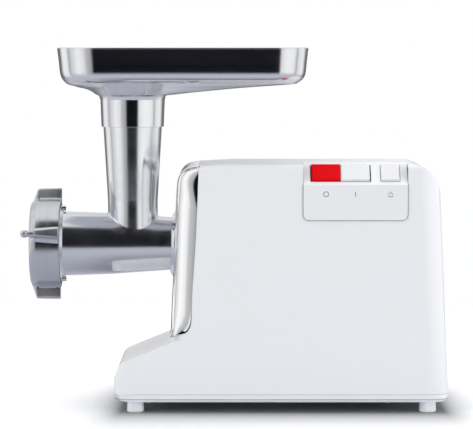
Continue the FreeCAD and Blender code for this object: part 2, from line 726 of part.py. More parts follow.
outputAt = Vector(0, 0, number(d.headAxisZ))
motorAt = Vector(0, 0, number(d.motorZ))
firstAngle = math.radians(number(d.firstAngle))
firstAt = (motorAt + Vector(0, math.cos(firstAngle), math.sin(firstAngle))
           * centreDistance(d.module1, d.pinion1, d.gear1))
reachThree = centreDistance(d.module3, d.pinion3, d.gear3)
reachTwo = centreDistance(d.module2, d.pinion2, d.gear2)
span = firstAt - outputAt
alongSpan = (reachThree ** 2 - reachTwo ** 2 + span.Length ** 2) / (2 * span.Length)
offSpan = math.sqrt(reachThree ** 2 - alongSpan ** 2)
spanWay = Vector(span).normalize()
secondAt = outputAt + spanWay * alongSpan + Vector(0, -spanWay.z, spanWay.y) * offSpan


def bearing(fromPoint, toPoint):
    return math.atan2(toPoint.z - fromPoint.z, toPoint.y - fromPoint.y)


def meshPhase(bigPhase, bigTeeth, smallTeeth, bigAt, smallAt):
    """Phase of the small gear that puts its gap on the big gear's tooth at the pitch point."""
    line = bearing(bigAt, smallAt)
    return line + math.pi - (bigTeeth / smallTeeth) * (bigPhase - line) + math.pi / smallTeeth


def atAxis(label, shape, at):
    return shapePart(label, shape, at.y, at.z)


def buildGears():
    teeth = {name: int(number(getattr(d, name)))
             for name in ("pinion1", "gear1", "pinion2", "gear2", "pinion3", "gear3")}
    module = [number(d.module1), number(d.module2), number(d.module3)]
    journal = number(d.layshaftRadius)
    gear = gearSolid(module[2], teeth["gear3"], 0.0, 3, 16, 12)
    gear = lightened(gear, 3, 16, 33, 17, 9)
    atAxis("output_gear", gear, outputAt)
    phase = meshPhase(0.0, teeth["gear3"], teeth["pinion3"], outputAt, secondAt)
    atAxis("third_pinion", gearSolid(module[2], teeth["pinion3"], phase, 2, 18, journal), secondAt)
    gear = lightened(gearSolid(module[1], teeth["gear2"], 0.0, 22, 9, journal), 22, 9, 27, 9, 5)
    atAxis("second_gear", gear, secondAt)
    phase = meshPhase(0.0, teeth["gear2"], teeth["pinion2"], secondAt, firstAt)
    atAxis("second_pinion", gearSolid(module[1], teeth["pinion2"], phase, 21, 11, journal), firstAt)
    gear = lightened(gearSolid(module[0], teeth["gear1"], 0.0, 34.5, 7, journal), 34.5, 7, 24, 8, 4)
    atAxis("first_gear", gear, firstAt)
    phase = meshPhase(0.0, teeth["gear1"], teeth["pinion1"], firstAt, motorAt)
    atAxis("motor_pinion", gearSolid(module[0], teeth["pinion1"], phase, 34, 8, 3.0), motorAt)


def buildShafts():
    front, rear = d.boxFrontX - d.bossLength + 0.5, d.boxRearX + d.bossLength - 0.5
    radius = d.layshaftRadius
    for label, at in (("first_layshaft", firstAt), ("second_layshaft", secondAt)):
        turnedPart(label, [(front, 0), (rear, 0), (rear, radius - 0.5), (rear - 0.5, radius),
                           (front + 0.5, radius), (front, radius - 0.5)], at.y, at.z)
    bushes = []
    for at in (firstAt, secondAt):
        for x in (number(d.boxFrontX - d.bossLength), number(d.boxRearX)):
            start = at + Vector(x, 0, 0)
            outer = Part.makeCylinder(number(radius + d.bushWall), number(d.bossLength), start,
                                      Vector(1, 0, 0))
            inner = Part.makeCylinder(number(radius + d.fitGap), 20, start - Vector(5, 0, 0), Vector(1, 0, 0))
            bushes.append(outer.cut(inner))
    feature = doc.addObject("Part::Feature", "layshaft_bushes")
    feature.Shape = Part.makeCompound(bushes)
    keep(feature, "layshaft_bushes")

    body = newBody("output_shaft")
    turn(body, [(d.stopX, 0), (54, 0), (54, 6), (44, 6), (44, 8), (19.2, 8), (19.2, 12), (d.stopX, 12)])
    sketch = newSketch(body, "YZ", (0, 0, d.stopX))
    half = d.outputFlat / 2
    polygon(sketch, [(-half, -half), (half, -half), (half, half), (-half, half)])
    extrude(body, sketch, 17, cut=True, back=True)
    place(body, 0, 0, d.headAxisZ)
    keep(body, "output_shaft")
    axisZ = d.headAxisZ
    turnedPart("output_bush_front", ringPoints(-14, -3, 12 + d.fitGap, 17), 0, axisZ)
    rear = d.boxRearX + d.bossLength
    turnedPart("output_bush_rear", ringPoints(d.boxRearX, rear, 6 + d.fitGap, 9), 0, axisZ)
    lip = [(-19, 12.1), (-14.2, 12.1), (-14.2, 17), (-19, 17), (-19, 15), (-17, 14)]
    turnedPart("output_seal", lip, 0, axisZ)


def hullWire(circles, grow, x):
    """Outline round several circles (y, z, radius), as arcs joined by their outer tangents."""
    ring = [(y, z, radius + grow) for y, z, radius in circles]
    count = len(ring)
    lines = []
    for i in range(count):
        y0, z0, r0 = ring[i]
        y1, z1, r1 = ring[(i + 1) % count]
        reach = math.hypot(y1 - y0, z1 - z0)
        heading = math.atan2(z1 - z0, y1 - y0)
        normal = heading - math.pi / 2 + math.asin((r1 - r0) / reach) * -1
        way = (math.cos(normal), math.sin(normal))
        lines.append(((y0 + r0 * way[0], z0 + r0 * way[1]), (y1 + r1 * way[0], z1 + r1 * way[1]), normal))
    edges = []
    for i in range(count):
        start, stop, normal = lines[i]
        edges.append(Part.makeLine(Vector(x, *start), Vector(x, *stop)))
        y, z, radius = ring[(i + 1) % count]
        nextNormal = lines[(i + 1) % count][2]
        sweep = (nextNormal - normal) % (2 * math.pi)
        middle = normal + sweep / 2
        crest = Vector(x, y + radius * math.cos(middle), z + radius * math.sin(middle))
        edges.append(Part.Arc(Vector(x, *stop), crest, Vector(x, *lines[(i + 1) % count][0])).toShape())
    return Part.Wire(edges)


def tipRadius(module, teeth):
    return number(module) * (number(teeth) / 2 + addendum)


def gearCircles():
    """The gears' tip circles, counter-clockwise as seen from the rear."""
    return [
        (motorAt.y, motorAt.z, 16.0),
        (secondAt.y, secondAt.z, tipRadius(d.module2, d.gear2)),
        (outputAt.y, outputAt.z, tipRadius(d.module3, d.gear3)),
        (firstAt.y, firstAt.z, tipRadius(d.module1, d.gear1)),
    ]


def xCylinder(at, x, length, radius):
    return Part.makeCylinder(radius, length, Vector(x, at.y, at.z), Vector(1, 0, 0))


def boxScrewPlaces(x):
    """Screw axes in the middle of the gearbox wall."""
    middle = number(d.boxRoom + d.boxWall / 2)
    spots = []
    for at, radius, angles in (
        (outputAt, tipRadius(d.module3, d.gear3), (20, 90, 160)),
        (firstAt, tipRadius(d.module1, d.gear1), (195,)),
        (secondAt, tipRadius(d.module2, d.gear2), (-25,)),
        (motorAt, 16.0, (-90,)),
    ):
        for angle in angles:
            reach = radius + middle
            way = math.radians(angle)
            spots.append(Vector(x, at.y + reach * math.cos(way), at.z + reach * math.sin(way)))
    return spots


def buildGearbox():
    circles = gearCircles()
    room, wall, skin = number(d.boxRoom), number(d.boxWall), number(d.plateWall)
    front, rear, boss = number(d.boxFrontX), number(d.boxRearX), number(d.bossLength)
    bushOuter = number(d.layshaftRadius + d.bushWall)
    outer = Part.Face(hullWire(circles, room + wall, front)).extrude(Vector(rear + skin - front, 0, 0))
    inner = Part.Face(hullWire(circles, room, front - 1)).extrude(Vector(rear + 1 - front, 0, 0))
    box = outer.cut(inner)
    for at, radius, bore in ((firstAt, bushOuter + 2.5, bushOuter), (secondAt, bushOuter + 2.5, bushOuter),
                             (outputAt, 12.0, 9.0)):
        box = box.fuse(xCylinder(at, rear, boss + 2, radius)).cut(xCylinder(at, rear - 1, boss + 1, bore))
    box = box.fuse(xCylinder(motorAt, rear, 8, 14.5)).cut(xCylinder(motorAt, rear - 1, 20, 11.0))
    for spot in boxScrewPlaces(front - 1):
        box = box.cut(Part.makeCylinder(1.3, 16, spot, Vector(1, 0, 0)))
    for y in (-34.0, 34.0):
        box = box.cut(Part.makeCylinder(1.8, 20, Vector(rear - 4, y, number(d.motorZ) + 12), Vector(1, 0, 0)))
    feature = doc.addObject("Part::Feature", "gearbox_housing")
    feature.Shape = box.removeSplitter()
    keep(feature, "gearbox_housing")

    lid = Part.Face(hullWire(circles, room + wall, front - skin)).extrude(Vector(skin - 0.05, 0, 0))
    for at in (firstAt, secondAt):
        lid = lid.fuse(xCylinder(at, front - boss - 2, boss + 1.5, bushOuter + 2.5))
        lid = lid.cut(xCylinder(at, front - boss, boss + 1, bushOuter))
    hubFront = number(d.hubFrontX)
    lid = lid.fuse(xCylinder(outputAt, hubFront, front - skin - hubFront + 0.5, number(d.hubRadius)))
    socket = number(d.stopX) - hubFront - 0.5
    lid = lid.cut(xCylinder(outputAt, hubFront - 1, socket, number(d.tailRadius) + 0.1))
    lid = lid.cut(xCylinder(outputAt, number(d.stopX) - 5, 8, 13.0))
    lid = lid.cut(xCylinder(outputAt, -19.1, 30, 17.0))
    lid = lid.cut(Part.makeCylinder(4.06, 60, Vector(number(d.lockX), 15, outputAt.z), Vector(0, 1, 0)))
    for spot in boxScrewPlaces(front - 10):
        lid = lid.cut(Part.makeCylinder(1.7, 14, spot, Vector(1, 0, 0)))
    feature = doc.addObject("Part::Feature", "gearbox_cover")
    feature.Shape = lid.removeSplitter()
    keep(feature, "gearbox_cover")
    places = [tuple(spot) for spot in boxScrewPlaces(front - skin - 0.02)]
    screws("gearbox_screws", places, (1, 0, 0), 1.25, 14, 2.9, 2.2)

    bracketTop = number(d.motorZ) - 16 - room - wall
    low = number(d.baseBottomZ + d.baseThick) + 0.1
    saddle = Part.makeBox(34, 46, bracketTop + 5 - low, Vector(6, -23, low))
    hollow = Part.makeBox(36, 40, bracketTop - 2 - low, Vector(5, -20, low + 3))
    shell = saddle.cut(hollow).cut(outer)
    shapePart("gearbox_bracket", shell)


def buildMotor():
    z = d.motorZ
    turnedPart("motor_shaft", [(33, 0), (158, 0), (158, 4), (44, 4), (44, 3), (33, 3)], 0, z)
    turnedPart("motor_bearing_front", ringPoints(46.2, 53.2, 4 + d.fitGap, 11), 0, z)
    turnedPart("motor_bearing_rear", ringPoints(146, 153, 4 + d.fitGap, 11), 0, z)
    half = d.statorHalf
    outline = [(-half, -half + 3), (half, -half + 3), (half, half - 3), (-half, half - 3)]
    core = roundedPrism("stator_block", "YZ", outline, {k: 12.0 for k in range(4)},
                        d.statorRearX - d.statorFrontX, start=d.statorFrontX)
    place(core, 0, 0, z)
    bore = barAlongX("stator_bore", 60, 0, z, d.statorBore, 70)
    slots = [boxPart("coil_slot_top", 60, -20, z + 15, 70, 40, 13),
             boxPart("coil_slot_low", 60, -20, z - 28, 70, 40, 13)]
    slots += [barAlongX(f"bolt_way_{k}", 60, y, z + 12, 2.0, 70) for k, y in enumerate((-34, 34))]
    tools = combine("Part::MultiFuse", "stator_cuts", [bore] + slots)
    keep(combine("Part::Cut", "stator_core", (core, tools)), "stator_core")

    coils = []
    for sign in (1, -1):
        middle = number(z) + sign * 25.4
        outer = Part.makeBox(54, 38, 4.6, Vector(69, -19, middle - 2.3))
        inner = Part.makeBox(30, 20, 8, Vector(81, -10, middle - 4))
        outer = outer.makeFillet(5, [e for e in outer.Edges if abs(e.tangentAt(e.FirstParameter).z) > 0.9])
        coils.append(outer.cut(inner))
    feature = doc.addObject("Part::Feature", "field_coils")
    feature.Shape = Part.makeCompound(coils)
    keep(feature, "field_coils")

    front, rear = number(d.statorFrontX), number(d.statorRearX)
    core = xCylinder(motorAt, front, rear - front, number(d.armatureRadius))
    slotCount = 12
    for k in range(slotCount):
        slot = Part.makeBox(rear - front + 2, 2.4, 9, Vector(front - 1, -1.2, 14.5))
        slot.rotate(Vector(0, 0, 0), Vector(1, 0, 0), 360.0 * k / slotCount)
        slot.translate(motorAt)
        core = core.cut(slot)
    core = core.cut(xCylinder(motorAt, front - 1, rear - front + 2, number(4)))
    shapePart("armature_core", core)
    turns = []
    for start, stop, outer in ((70.0, front - 0.05, 20.0), (rear + 0.05, 123.0, 20.0)):
        ring = xCylinder(motorAt, start, stop - start, outer)
        ring = ring.makeFillet(2.4, [e for e in ring.Edges if len(e.Vertexes) == 1])
        turns.append(ring.cut(xCylinder(motorAt, start - 1, stop - start + 2, 4.0)))
    for k in range(slotCount):
        bar = Part.makeBox(rear - front, 2.2, 5.5, Vector(front, -1.1, 15.0))
        bar.rotate(Vector(0, 0, 0), Vector(1, 0, 0), 360.0 * k / slotCount)
        bar.translate(motorAt)
        turns.append(bar)
    feature = doc.addObject("Part::Feature", "armature_windings")
    feature.Shape = Part.makeCompound(turns)
    keep(feature, "armature_windings")

    drum = xCylinder(motorAt, 126, 14, number(d.commutatorRadius)).cut(xCylinder(motorAt, 125, 16, 4.0))
    for k in range(24):
        groove = Part.makeBox(12, 0.5, 1.4, Vector(129, -0.25, number(d.commutatorRadius) - 1.0))
        groove.rotate(Vector(0, 0, 0), Vector(1, 0, 0), 15.0 * k)
        groove.translate(motorAt)
        drum = drum.cut(groove)
    shapePart("commutator", drum)

    fan = xCylinder(motorAt, 57, 3, 33).fuse(xCylinder(motorAt, 57, 10, 9))
    for k in range(11):
        blade = Part.makeBox(7.5, 1.6, 22, Vector(59.5, -0.8, 10))
        blade.rotate(Vector(0, 0, 21), Vector(1, 0, 0), 28)
        blade.rotate(Vector(0, 0, 0), Vector(1, 0, 0), 360.0 * k / 11)
        blade.translate(motorAt)
        fan = fan.fuse(blade)
    rim = xCylinder(motorAt, 50, 30, 33.0)
    fan = fan.common(rim).cut(xCylinder(motorAt, 50, 30, 4.0))
    shapePart("cooling_fan", fan.removeSplitter())

    bracket = Part.makeBox(5, 82, 26, Vector(142, -41, number(z) - 1))
    bracket = bracket.fuse(xCylinder(motorAt, 142, 12, 14.5))
    for y in (-41.0, 31.0):
        bracket = bracket.fuse(Part.makeBox(26, 10, 26, Vector(rear + 0.05, y, number(z) - 1)))
    bracket = bracket.cut(xCylinder(motorAt, 146, 20, 11.0)).cut(xCylinder(motorAt, 130, 30, 6.0))
    for y in (-34.0, 34.0):
        bracket = bracket.cut(Part.makeCylinder(2.0, 60, Vector(110, y, number(z) + 12), Vector(1, 0, 0)))
    for sign in (-1, 1):
        slotBox = Part.makeBox(10, 40, 12, Vector(128, -20 + sign * 40, number(z) - 6))
        bracket = bracket.cut(slotBox)
    shapePart("motor_rear_bracket", bracket.removeSplitter())
    bolts = [(149.0, y, number(z) + 12) for y in (-34.0, 34.0)]
    screws("motor_bolts", bolts, (-1, 0, 0), 1.75, 104, 3.6, 2.8)

    def across(sign, near, far, halfX, halfZ):
        y0, y1 = sorted((sign * near, sign * far))
        return Part.makeBox(2 * halfX, y1 - y0, 2 * halfZ, Vector(133 - halfX, y0, number(z) - halfZ))

    holders, brushes, springs = [], [], []
    for sign in (-1, 1):
        holders.append(across(sign, 13.5, 40, 4.6, 5.6).cut(across(sign, 13, 38.5, 3.3, 4.3)))
        brushes.append(across(sign, 12.3, 26, 3.1, 4.1))
        spring = coil(2.2, 0.35, 12.2, 6)
        spring.rotate(Vector(0, 0, 0), Vector(1, 0, 0), -90 * sign)
        spring.translate(Vector(133, sign * 26.1, number(z)))
        springs.append(spring)
    for label, solids in (("brush_holders", holders), ("carbon_brushes", brushes),
                          ("brush_springs", springs)):
        feature = doc.addObject("Part::Feature", label)
        feature.Shape = Part.makeCompound(solids)
        keep(feature, label)

    low = d.baseBottomZ + d.baseThick + 0.1
    pad = boxPart("support_block", 82, -24, low, 28, 48, z - d.statorHalf + 2.9 - low)
    keep(pad, "motor_support")


def buildGland():
    body = newBody("cord_gland")
    turn(body, [(200, 0), (211.9, 0), (211.9, 8.6), (211.3, 9.2), (210.6, 9.2), (210.6, 6.3), (206, 6.3),
                (206, 7.6), (204.6, 7.6), (202, 5.4), (200, 5.4)])
    turn(body, [(195, 0), (215, 0), (215, 3.6), (195, 3.6)], cut=True)
    place(body, -1.4, 30, d.glandZ)
    keep(body, "cord_gland")


# ---------------------------------------------------------------- grinding head

def buildHead():
    body = newBody("head_body")
    turn(body, [(d.barrelFrontX, 0), (d.barrelFrontX, d.flangeRadius), (d.flangeRearX, d.flangeRadius),
                (d.flangeRearX, 37.6), (-173.0, 37.6), (-170.5, d.barrelRadius),
                (d.barrelMidX, d.barrelMidRadius),
                (d.shoulderX, d.barrelRearRadius - 0.4), (d.shoulderX, d.tailRadius),
                (d.tailEndX, d.tailRadius), (d.tailEndX, 0)])
    lift = d.headAxisZ
    turn(body, [(0, 5), (d.neckLowRadius, 5), (d.neckLowRadius, d.neckBendZ - lift),
                (d.neckTopRadius, d.collarBottomZ - lift - 2),
                (29.0, d.collarBottomZ - lift), (29.0, d.neckTopZ - lift), (0, d.neckTopZ - lift)],
         axis="V_Axis", offset=(d.neckX, 0, 0))
    studs = newSketch(body, "YZ", (0, 0, -176))
    for sign in (-1, 1):
        circle(studs, (0, 35.4 * sign), 2.6)
    extrude(body, studs, 7.5)
    doc.recompute()
    high = number(d.barrelMidRadius) - 14
    roundEdges(body, 2.2, lambda edge: edge.Curve.TypeId == "Part::GeomBSplineCurve"
               and abs(edge.CenterOfMass.x - number(d.neckX)) < 12 and edge.CenterOfMass.z > high)
    turn(body, [(d.barrelFrontX - 1, 0), (d.barrelFrontX - 1, d.recessRadius), (d.recessX, d.recessRadius),
                (d.recessX, d.boreFrontRadius), (d.boreEndX, d.boreRearRadius), (d.boreEndX, 11.0),
                (d.tailEndX + 1, 11.0), (d.tailEndX + 1, 0)], cut=True)
    turn(body, [(0, 0), (d.throatLowRadius, 0), (d.throatLowRadius, 45),
                (d.throatTopRadius, d.neckTopZ - lift + 1), (0, d.neckTopZ - lift + 1)],
         cut=True, axis="V_Axis", offset=(d.neckX, 0, 0))
    place(body, 0, 0, d.headAxisZ)
    key = boxPart("key_way", d.barrelFrontX - 0.5, -1.8, d.headAxisZ - d.recessRadius - 2, 5.8, 3.6, 5)
    keep(combine("Part::Cut", "grinder_head", (body, key)), "grinder_head")
    block = boxPart("plate_key", d.barrelFrontX + 0.1, -1.75, d.headAxisZ - d.recessRadius - 1.9,
                    5.1, 3.5, 4.6)
    keep(block, "plate_key")
    sleeve = ringPoints(d.boreEndX, d.tailEndX + 0.5, d.journalRadius + d.fitGap, 11)
    turnedPart("auger_bush", sleeve, 0, d.headAxisZ)


def buildAuger():
    front = number(d.recessX) + number(d.knifeThick) + 0.6
    bodyRear = number(d.boreEndX) - 0.6
    core = number(d.augerCore)
    profile = [(front, 0), (front, core + 2), (front + 8, core + 2), (front + 16, core),
               (bodyRear - 30, core + 2), (bodyRear, core + 5), (bodyRear, 0)]
    wire = Part.makePolygon([Vector(x, 0, r) for x, r in profile + profile[:1]])
    shaft = Part.Face(wire).revolve(Vector(0, 0, 0), Vector(1, 0, 0), 360)
    journal = Part.makeCylinder(number(d.journalRadius), 12.6, Vector(bodyRear, 0, 0), Vector(1, 0, 0))
    side = number(d.squareDrive)
    tail = Part.makeBox(20, side, side, Vector(bodyRear + 12, -side / 2, -side / 2))
    small = number(d.knifeSquare)
    noseX = number(d.recessX) + 0.1
    nose = Part.makeBox(front - noseX, small, small, Vector(noseX, -small / 2, -small / 2))
    spigot = Part.makeCylinder(number(d.pinRadius), noseX + 199.4, Vector(-199.4, 0, 0), Vector(1, 0, 0))

    length = bodyRear - front - 14
    helix = Part.makeHelix(number(d.augerPitch), length, 17.0)
    blade = Part.makePolygon([Vector(x, 0, z) for x, z in
                              ((8, -3.4), (34, -1.4), (34, 1.4), (8, 3.4), (8, -3.4))])
    flight = Part.Solid(Part.Wire(helix.Edges).makePipeShell([blade], True, True))
    flight.rotate(Vector(0, 0, 0), Vector(0, 1, 0), 90)
    flight.translate(Vector(front + 4, 0, 0))
    gap = number(d.augerGap)
    boreX0, boreX1 = number(d.recessX), number(d.boreEndX)
    bore0, bore1 = number(d.boreFrontRadius), number(d.boreRearRadius)

    def clearRadius(x):
        return bore0 + (bore1 - bore0) * (x - boreX0) / (boreX1 - boreX0) - gap

    cone = Part.makeCone(clearRadius(front), clearRadius(bodyRear), bodyRear - front,
                         Vector(front, 0, 0), Vector(1, 0, 0))
    solid = shaft.fuse([flight.common(cone), journal, tail, nose, spigot]).removeSplitter()
    atAxis("auger", solid, outputAt)

    knifeX = number(d.recessX) + 0.1
    thick = number(d.knifeThick)
    knife = Part.makeCylinder(11, thick, Vector(knifeX, 0, 0), Vector(1, 0, 0))
    reach = number(d.knifeReach)
    for k in range(4):
        arm = Part.makePolygon([Vector(knifeX, y, z) for y, z in
                                ((-4.5, 6), (-3, reach - 1), (5.5, reach - 1), (5, 6), (-4.5, 6))])
        arm = Part.Face(arm).extrude(Vector(thick, 0, 0))
        bevel = Part.makeBox(thick * 2, 8, 40, Vector(0, -8, 0))
        bevel.rotate(Vector(0, 0, 0), Vector(0, 0, 1), 45)
        bevel.translate(Vector(knifeX + 1.5, -4.6, 4))
        arm = arm.cut(bevel)
        arm.rotate(Vector(0, 0, 0), Vector(1, 0, 0), 90 * k)
        knife = knife.fuse(arm)
    limit = Part.makeCylinder(reach, 40, Vector(knifeX - 20, 0, 0), Vector(1, 0, 0))
    corner = -small / 2 - 0.15
    hole = Part.makeBox(20, small + 0.3, small + 0.3, Vector(knifeX - 5, corner, corner))
    knife = knife.common(limit).cut(hole).removeSplitter()
    atAxis("cutting_knife", knife, outputAt)


def buildPlate():
    """Round plate with a centre bore, a keyway and a hexagonal field of holes."""
    front = number(d.recessX) - 0.1 - number(d.plateThick)
    body = newBody("grinding_plate")
    sketch = newSketch(body, "YZ", (0, 0, front))
    circle(sketch, (0, 0), d.plateRadius)
    circle(sketch, (0, 0), d.pinRadius + 0.06)
    extrude(body, sketch, d.plateThick)
    holes = newSketch(body, "YZ", (0, 0, front))
    step, radius = number(d.plateHoleStep), number(d.plateHole)
    for row in range(-5, 6):
        for column in range(-6, 7):
            y = step * (column + 0.5 * (row % 2))
            z = step * math.sqrt(3) / 2 * row
            if 9.0 < math.hypot(y, z) < number(d.boreFrontRadius) - radius - 0.3:
                holes.addGeometry(Part.Circle(Vector(y, z, 0), Vector(0, 0, 1), radius), False)
    extrude(body, holes, 20, cut=True, back=True)
    notch = newSketch(body, "YZ", (0, 0, front))
    low = -(d.plateRadius + 1)
    polygon(notch, [(-2.1, low), (2.1, low), (2.1, -(d.plateRadius - 3.4)), (-2.1, -(d.plateRadius - 3.4))])
    extrude(body, notch, 20, cut=True, back=True)
    place(body, 0, 0, d.headAxisZ)
    keep(body, "grinding_plate")


def buildRing():
    body = newBody("ring_body")
    turn(body, [(d.ringFrontX, d.ringMouth), (d.ringFrontX, d.ringRadius - 2.5),
                (d.ringFrontX + 2.5, d.ringRadius),
                (d.ringRearX - 1, d.ringRadius), (d.ringRearX, d.ringRadius - 1), (d.ringRearX, d.ringBore),
                (d.ringFrontX + d.ringLip, d.ringBore), (d.ringFrontX + d.ringLip, d.ringMouth)])
    place(body, 0, 0, d.headAxisZ)
    front, rear = number(d.ringFrontX), number(d.ringRearX)
    root, tip = number(d.ringRadius) - 2, number(d.earReach)
    ears = []
    for k in range(4):
        lower = Part.makePolygon([Vector(x, y, root) for x, y in
                                  ((front + 0.6, -5.0), (rear - 0.3, -7.0), (rear - 0.3, 7.0),
                                   (front + 0.6, 5.0), (front + 0.6, -5.0))])
        upper = Part.makePolygon([Vector(x, y, tip) for x, y in
                                  ((front + 4.2, -3.4), (rear - 0.3, -5.4), (rear - 0.3, 5.4),
                                   (front + 4.2, 3.4), (front + 4.2, -3.4))])
        ear = Part.makeLoft([lower, upper], True, True)
        ear = ear.makeFillet(1.4, [e for e in ear.Edges if e.CenterOfMass.z > root + 1])
        ear.rotate(Vector(0, 0, 0), Vector(1, 0, 0), 90 * k)
        ears.append(ear)
    nub = Part.makeCylinder(3.7, 12, Vector(front - 3.8, 0, tip - 6.5), Vector(1, 0, 0))
    nub = nub.fuse(Part.makeSphere(3.7, Vector(front - 3.8, 0, tip - 6.5)))
    nub.rotate(Vector(0, 0, 0), Vector(1, 0, 0), 90)
    ears.append(nub)
    lugs = ears[0].fuse(ears[1:])
    lugs.rotate(Vector(0, 0, 0), Vector(1, 0, 0), -number(d.earTilt))
    lugs.translate(Vector(0, 0, number(d.headAxisZ)))
    feature = doc.addObject("Part::Feature", "ring_ears")
    feature.Shape = lugs
    keep(combine("Part::MultiFuse", "ring_nut", [body, feature]), "ring_nut")


# ---------------------------------------------------------------- tray and lock

def roundedLoop(left, right, half, front, rear, z):
    """Rounded rectangle as four lines and four arcs; its corner radii are front at X- and rear at X+."""
    corners = [(right - rear, -half + rear, rear, -90), (right - rear, half - rear, rear, 0),
               (left + front, half - front, front, 90), (left + front, -half + front, front, 180)]

    def at(corner, step):
        x, y, radius, start = corner
        turnBy = math.radians(start + step)
        return Vector(x + radius * math.cos(turnBy), y + radius * math.sin(turnBy), z)

    loop = []
    for corner, following in zip(corners, corners[1:] + corners[:1]):
        loop.append(Part.Arc(at(corner, 0), at(corner, 45), at(corner, 90)).toShape())
        loop.append(Part.makeLine(at(corner, 90), at(following, 0)))
    return Part.Wire(loop)


def trayLoops(inset, lift):
    """Levels of the basin from the rim down to the collar; the floor falls towards the neck."""
    left, right, half = number(d.trayLeftX), number(d.trayRightX), number(d.trayHalfWidth)
    front, rear = number(d.trayFrontCorner), number(d.trayRearCorner)
    rim, neck = number(d.trayRimZ), number(d.neckX)
    levels = [(0.0, 0.0), (1.6, 13.0), (3.2, 26.0), (7.6, 32.6), (16.0, 36.2), (30.0, 38.8)]
    loops = []
    for step, drop in levels:
        smaller = step * 0.6 + inset
        loops.append(roundedLoop(left + step + inset, right - step - inset, half - step - inset,
                                 front - smaller, rear - smaller, rim - drop + (lift if drop else 0.0)))
    radius = number(d.collarTopRadius) - inset
    corner = radius - 0.05
    loops.append(roundedLoop(neck - radius, neck + radius, radius, corner, corner,
                             number(d.collarTopZ) + lift * 0.5))
    return loops


def buildTray():
    sheetThick = number(d.traySheet)
    outer = Part.makeLoft(trayLoops(0.0, 0.0), True, True)
    innerLoops = trayLoops(sheetThick, sheetThick)
    inner = Part.makeLoft(innerLoops, True, True)
    basin = outer.cut(inner)
    neck = Vector(number(d.neckX), 0, 0)
    low, high = number(d.collarBottomZ), number(d.collarTopZ)
    small, big = number(d.collarRadius), number(d.collarTopRadius)
    collar = Part.makeCylinder(small, high - low + 0.3, neck + Vector(0, 0, low))
    collar = collar.fuse(Part.makeCone(small, small + 1.2, high - low - 6, neck + Vector(0, 0, low)))
    collar = collar.fuse(Part.makeCone(small + 1.2, big, 6, neck + Vector(0, 0, high - 6)))
    collar = collar.fuse(Part.makeCylinder(big - 0.1, 1.0, neck + Vector(0, 0, high - 0.3)))
    bore = Part.makeCylinder(29.15, 60, neck + Vector(0, 0, low - 5))
    tray = basin.fuse(collar).cut(bore)
    shapePart("feed_tray", tray.removeSplitter())


def buildLock():
    reach = number(d.lockReach)
    knob = Part.makeCylinder(number(d.lockRadius), reach - 71.0,
                             Vector(number(d.lockX), 71.0, number(d.headAxisZ)),
                             Vector(0, 1, 0))
    knob = knob.makeFillet(2.0, [e for e in knob.Edges if len(e.Vertexes) == 1 and e.CenterOfMass.y > 80])
    for k in range(8):
        flute = Part.makeCylinder(3.2, 30, Vector(number(d.lockRadius) + 1.4, 60, 0), Vector(0, 1, 0))
        flute.rotate(Vector(0, 0, 0), Vector(0, 1, 0), 45.0 * k)
        flute.translate(Vector(number(d.lockX), 0, number(d.headAxisZ)))
        knob = knob.cut(flute)
    stemHole = Part.makeCylinder(4.0, 6.2, Vector(number(d.lockX), 70, number(d.headAxisZ)), Vector(0, 1, 0))
    shapePart("lock_knob", knob.cut(stemHole))
    stem = barAlongY("lock_screw", d.lockX, 24.3, d.headAxisZ, 4.0, 51.8)
    keep(stem, "lock_screw")


# ---------------------------------------------------------------- assembly

buildHousing()
buildBase()
buildFeet()
buildPanel()
buildRocker()
buildBreaker()
buildGears()
buildShafts()
buildGearbox()
buildMotor()
buildGland()
buildHead()
buildAuger()
buildPlate()
buildRing()
buildTray()
buildLock()
screws("foot_screws", [(x, y, 4.0) for x, y in footPlaces()], (0, 0, 1), 1.8, 14, 3.8, 2.4)
screws("base_screws", [(x, y, number(d.baseBottomZ) + 1.2) for x, y in postPlaces()],
       (0, 0, 1), 1.8, 16, 3.6, 2.0)

doc.recompute()
failed = [thing.Label for thing in doc.Objects if {"Invalid", "Error"} & set(thing.State)]
for thing in nodes:
    if thing.Shape.isNull() or not thing.Shape.isValid() or not thing.Shape.Solids:
        failed.append(f"shape of {thing.Label}")
if failed:
    raise RuntimeError("failed: " + ", ".join(failed))

os.makedirs("parts", exist_ok=True)
for thing in nodes:
    thing.Shape.exportStep(f"parts/{thing.Label}.step")
    print(f"{thing.Label}: {len(thing.Shape.Solids)} solids, {thing.Shape.Volume:.0f} mm3")
print(len(nodes), "sub-parts")
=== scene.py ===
import json
import math

import bmesh
import bpy
import numpy as np
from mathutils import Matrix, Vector


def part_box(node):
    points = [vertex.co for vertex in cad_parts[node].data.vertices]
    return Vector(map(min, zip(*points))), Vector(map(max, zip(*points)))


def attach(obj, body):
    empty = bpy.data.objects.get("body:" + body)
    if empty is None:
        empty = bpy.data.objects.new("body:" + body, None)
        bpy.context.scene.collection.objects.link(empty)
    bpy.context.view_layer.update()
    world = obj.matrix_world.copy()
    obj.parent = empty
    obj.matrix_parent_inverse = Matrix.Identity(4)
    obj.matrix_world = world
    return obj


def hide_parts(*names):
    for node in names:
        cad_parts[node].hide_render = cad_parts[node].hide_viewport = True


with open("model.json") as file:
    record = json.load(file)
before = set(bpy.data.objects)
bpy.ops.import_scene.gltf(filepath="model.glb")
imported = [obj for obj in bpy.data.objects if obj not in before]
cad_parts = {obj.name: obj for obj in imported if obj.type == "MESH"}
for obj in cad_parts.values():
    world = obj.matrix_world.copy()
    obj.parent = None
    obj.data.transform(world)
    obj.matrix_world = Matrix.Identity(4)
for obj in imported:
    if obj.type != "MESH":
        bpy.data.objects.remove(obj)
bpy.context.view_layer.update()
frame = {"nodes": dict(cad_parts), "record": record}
nodes = frame["nodes"]
slotOfNode = {part["node"]: part["material_slot"] for part in frame["record"]["subparts"]}
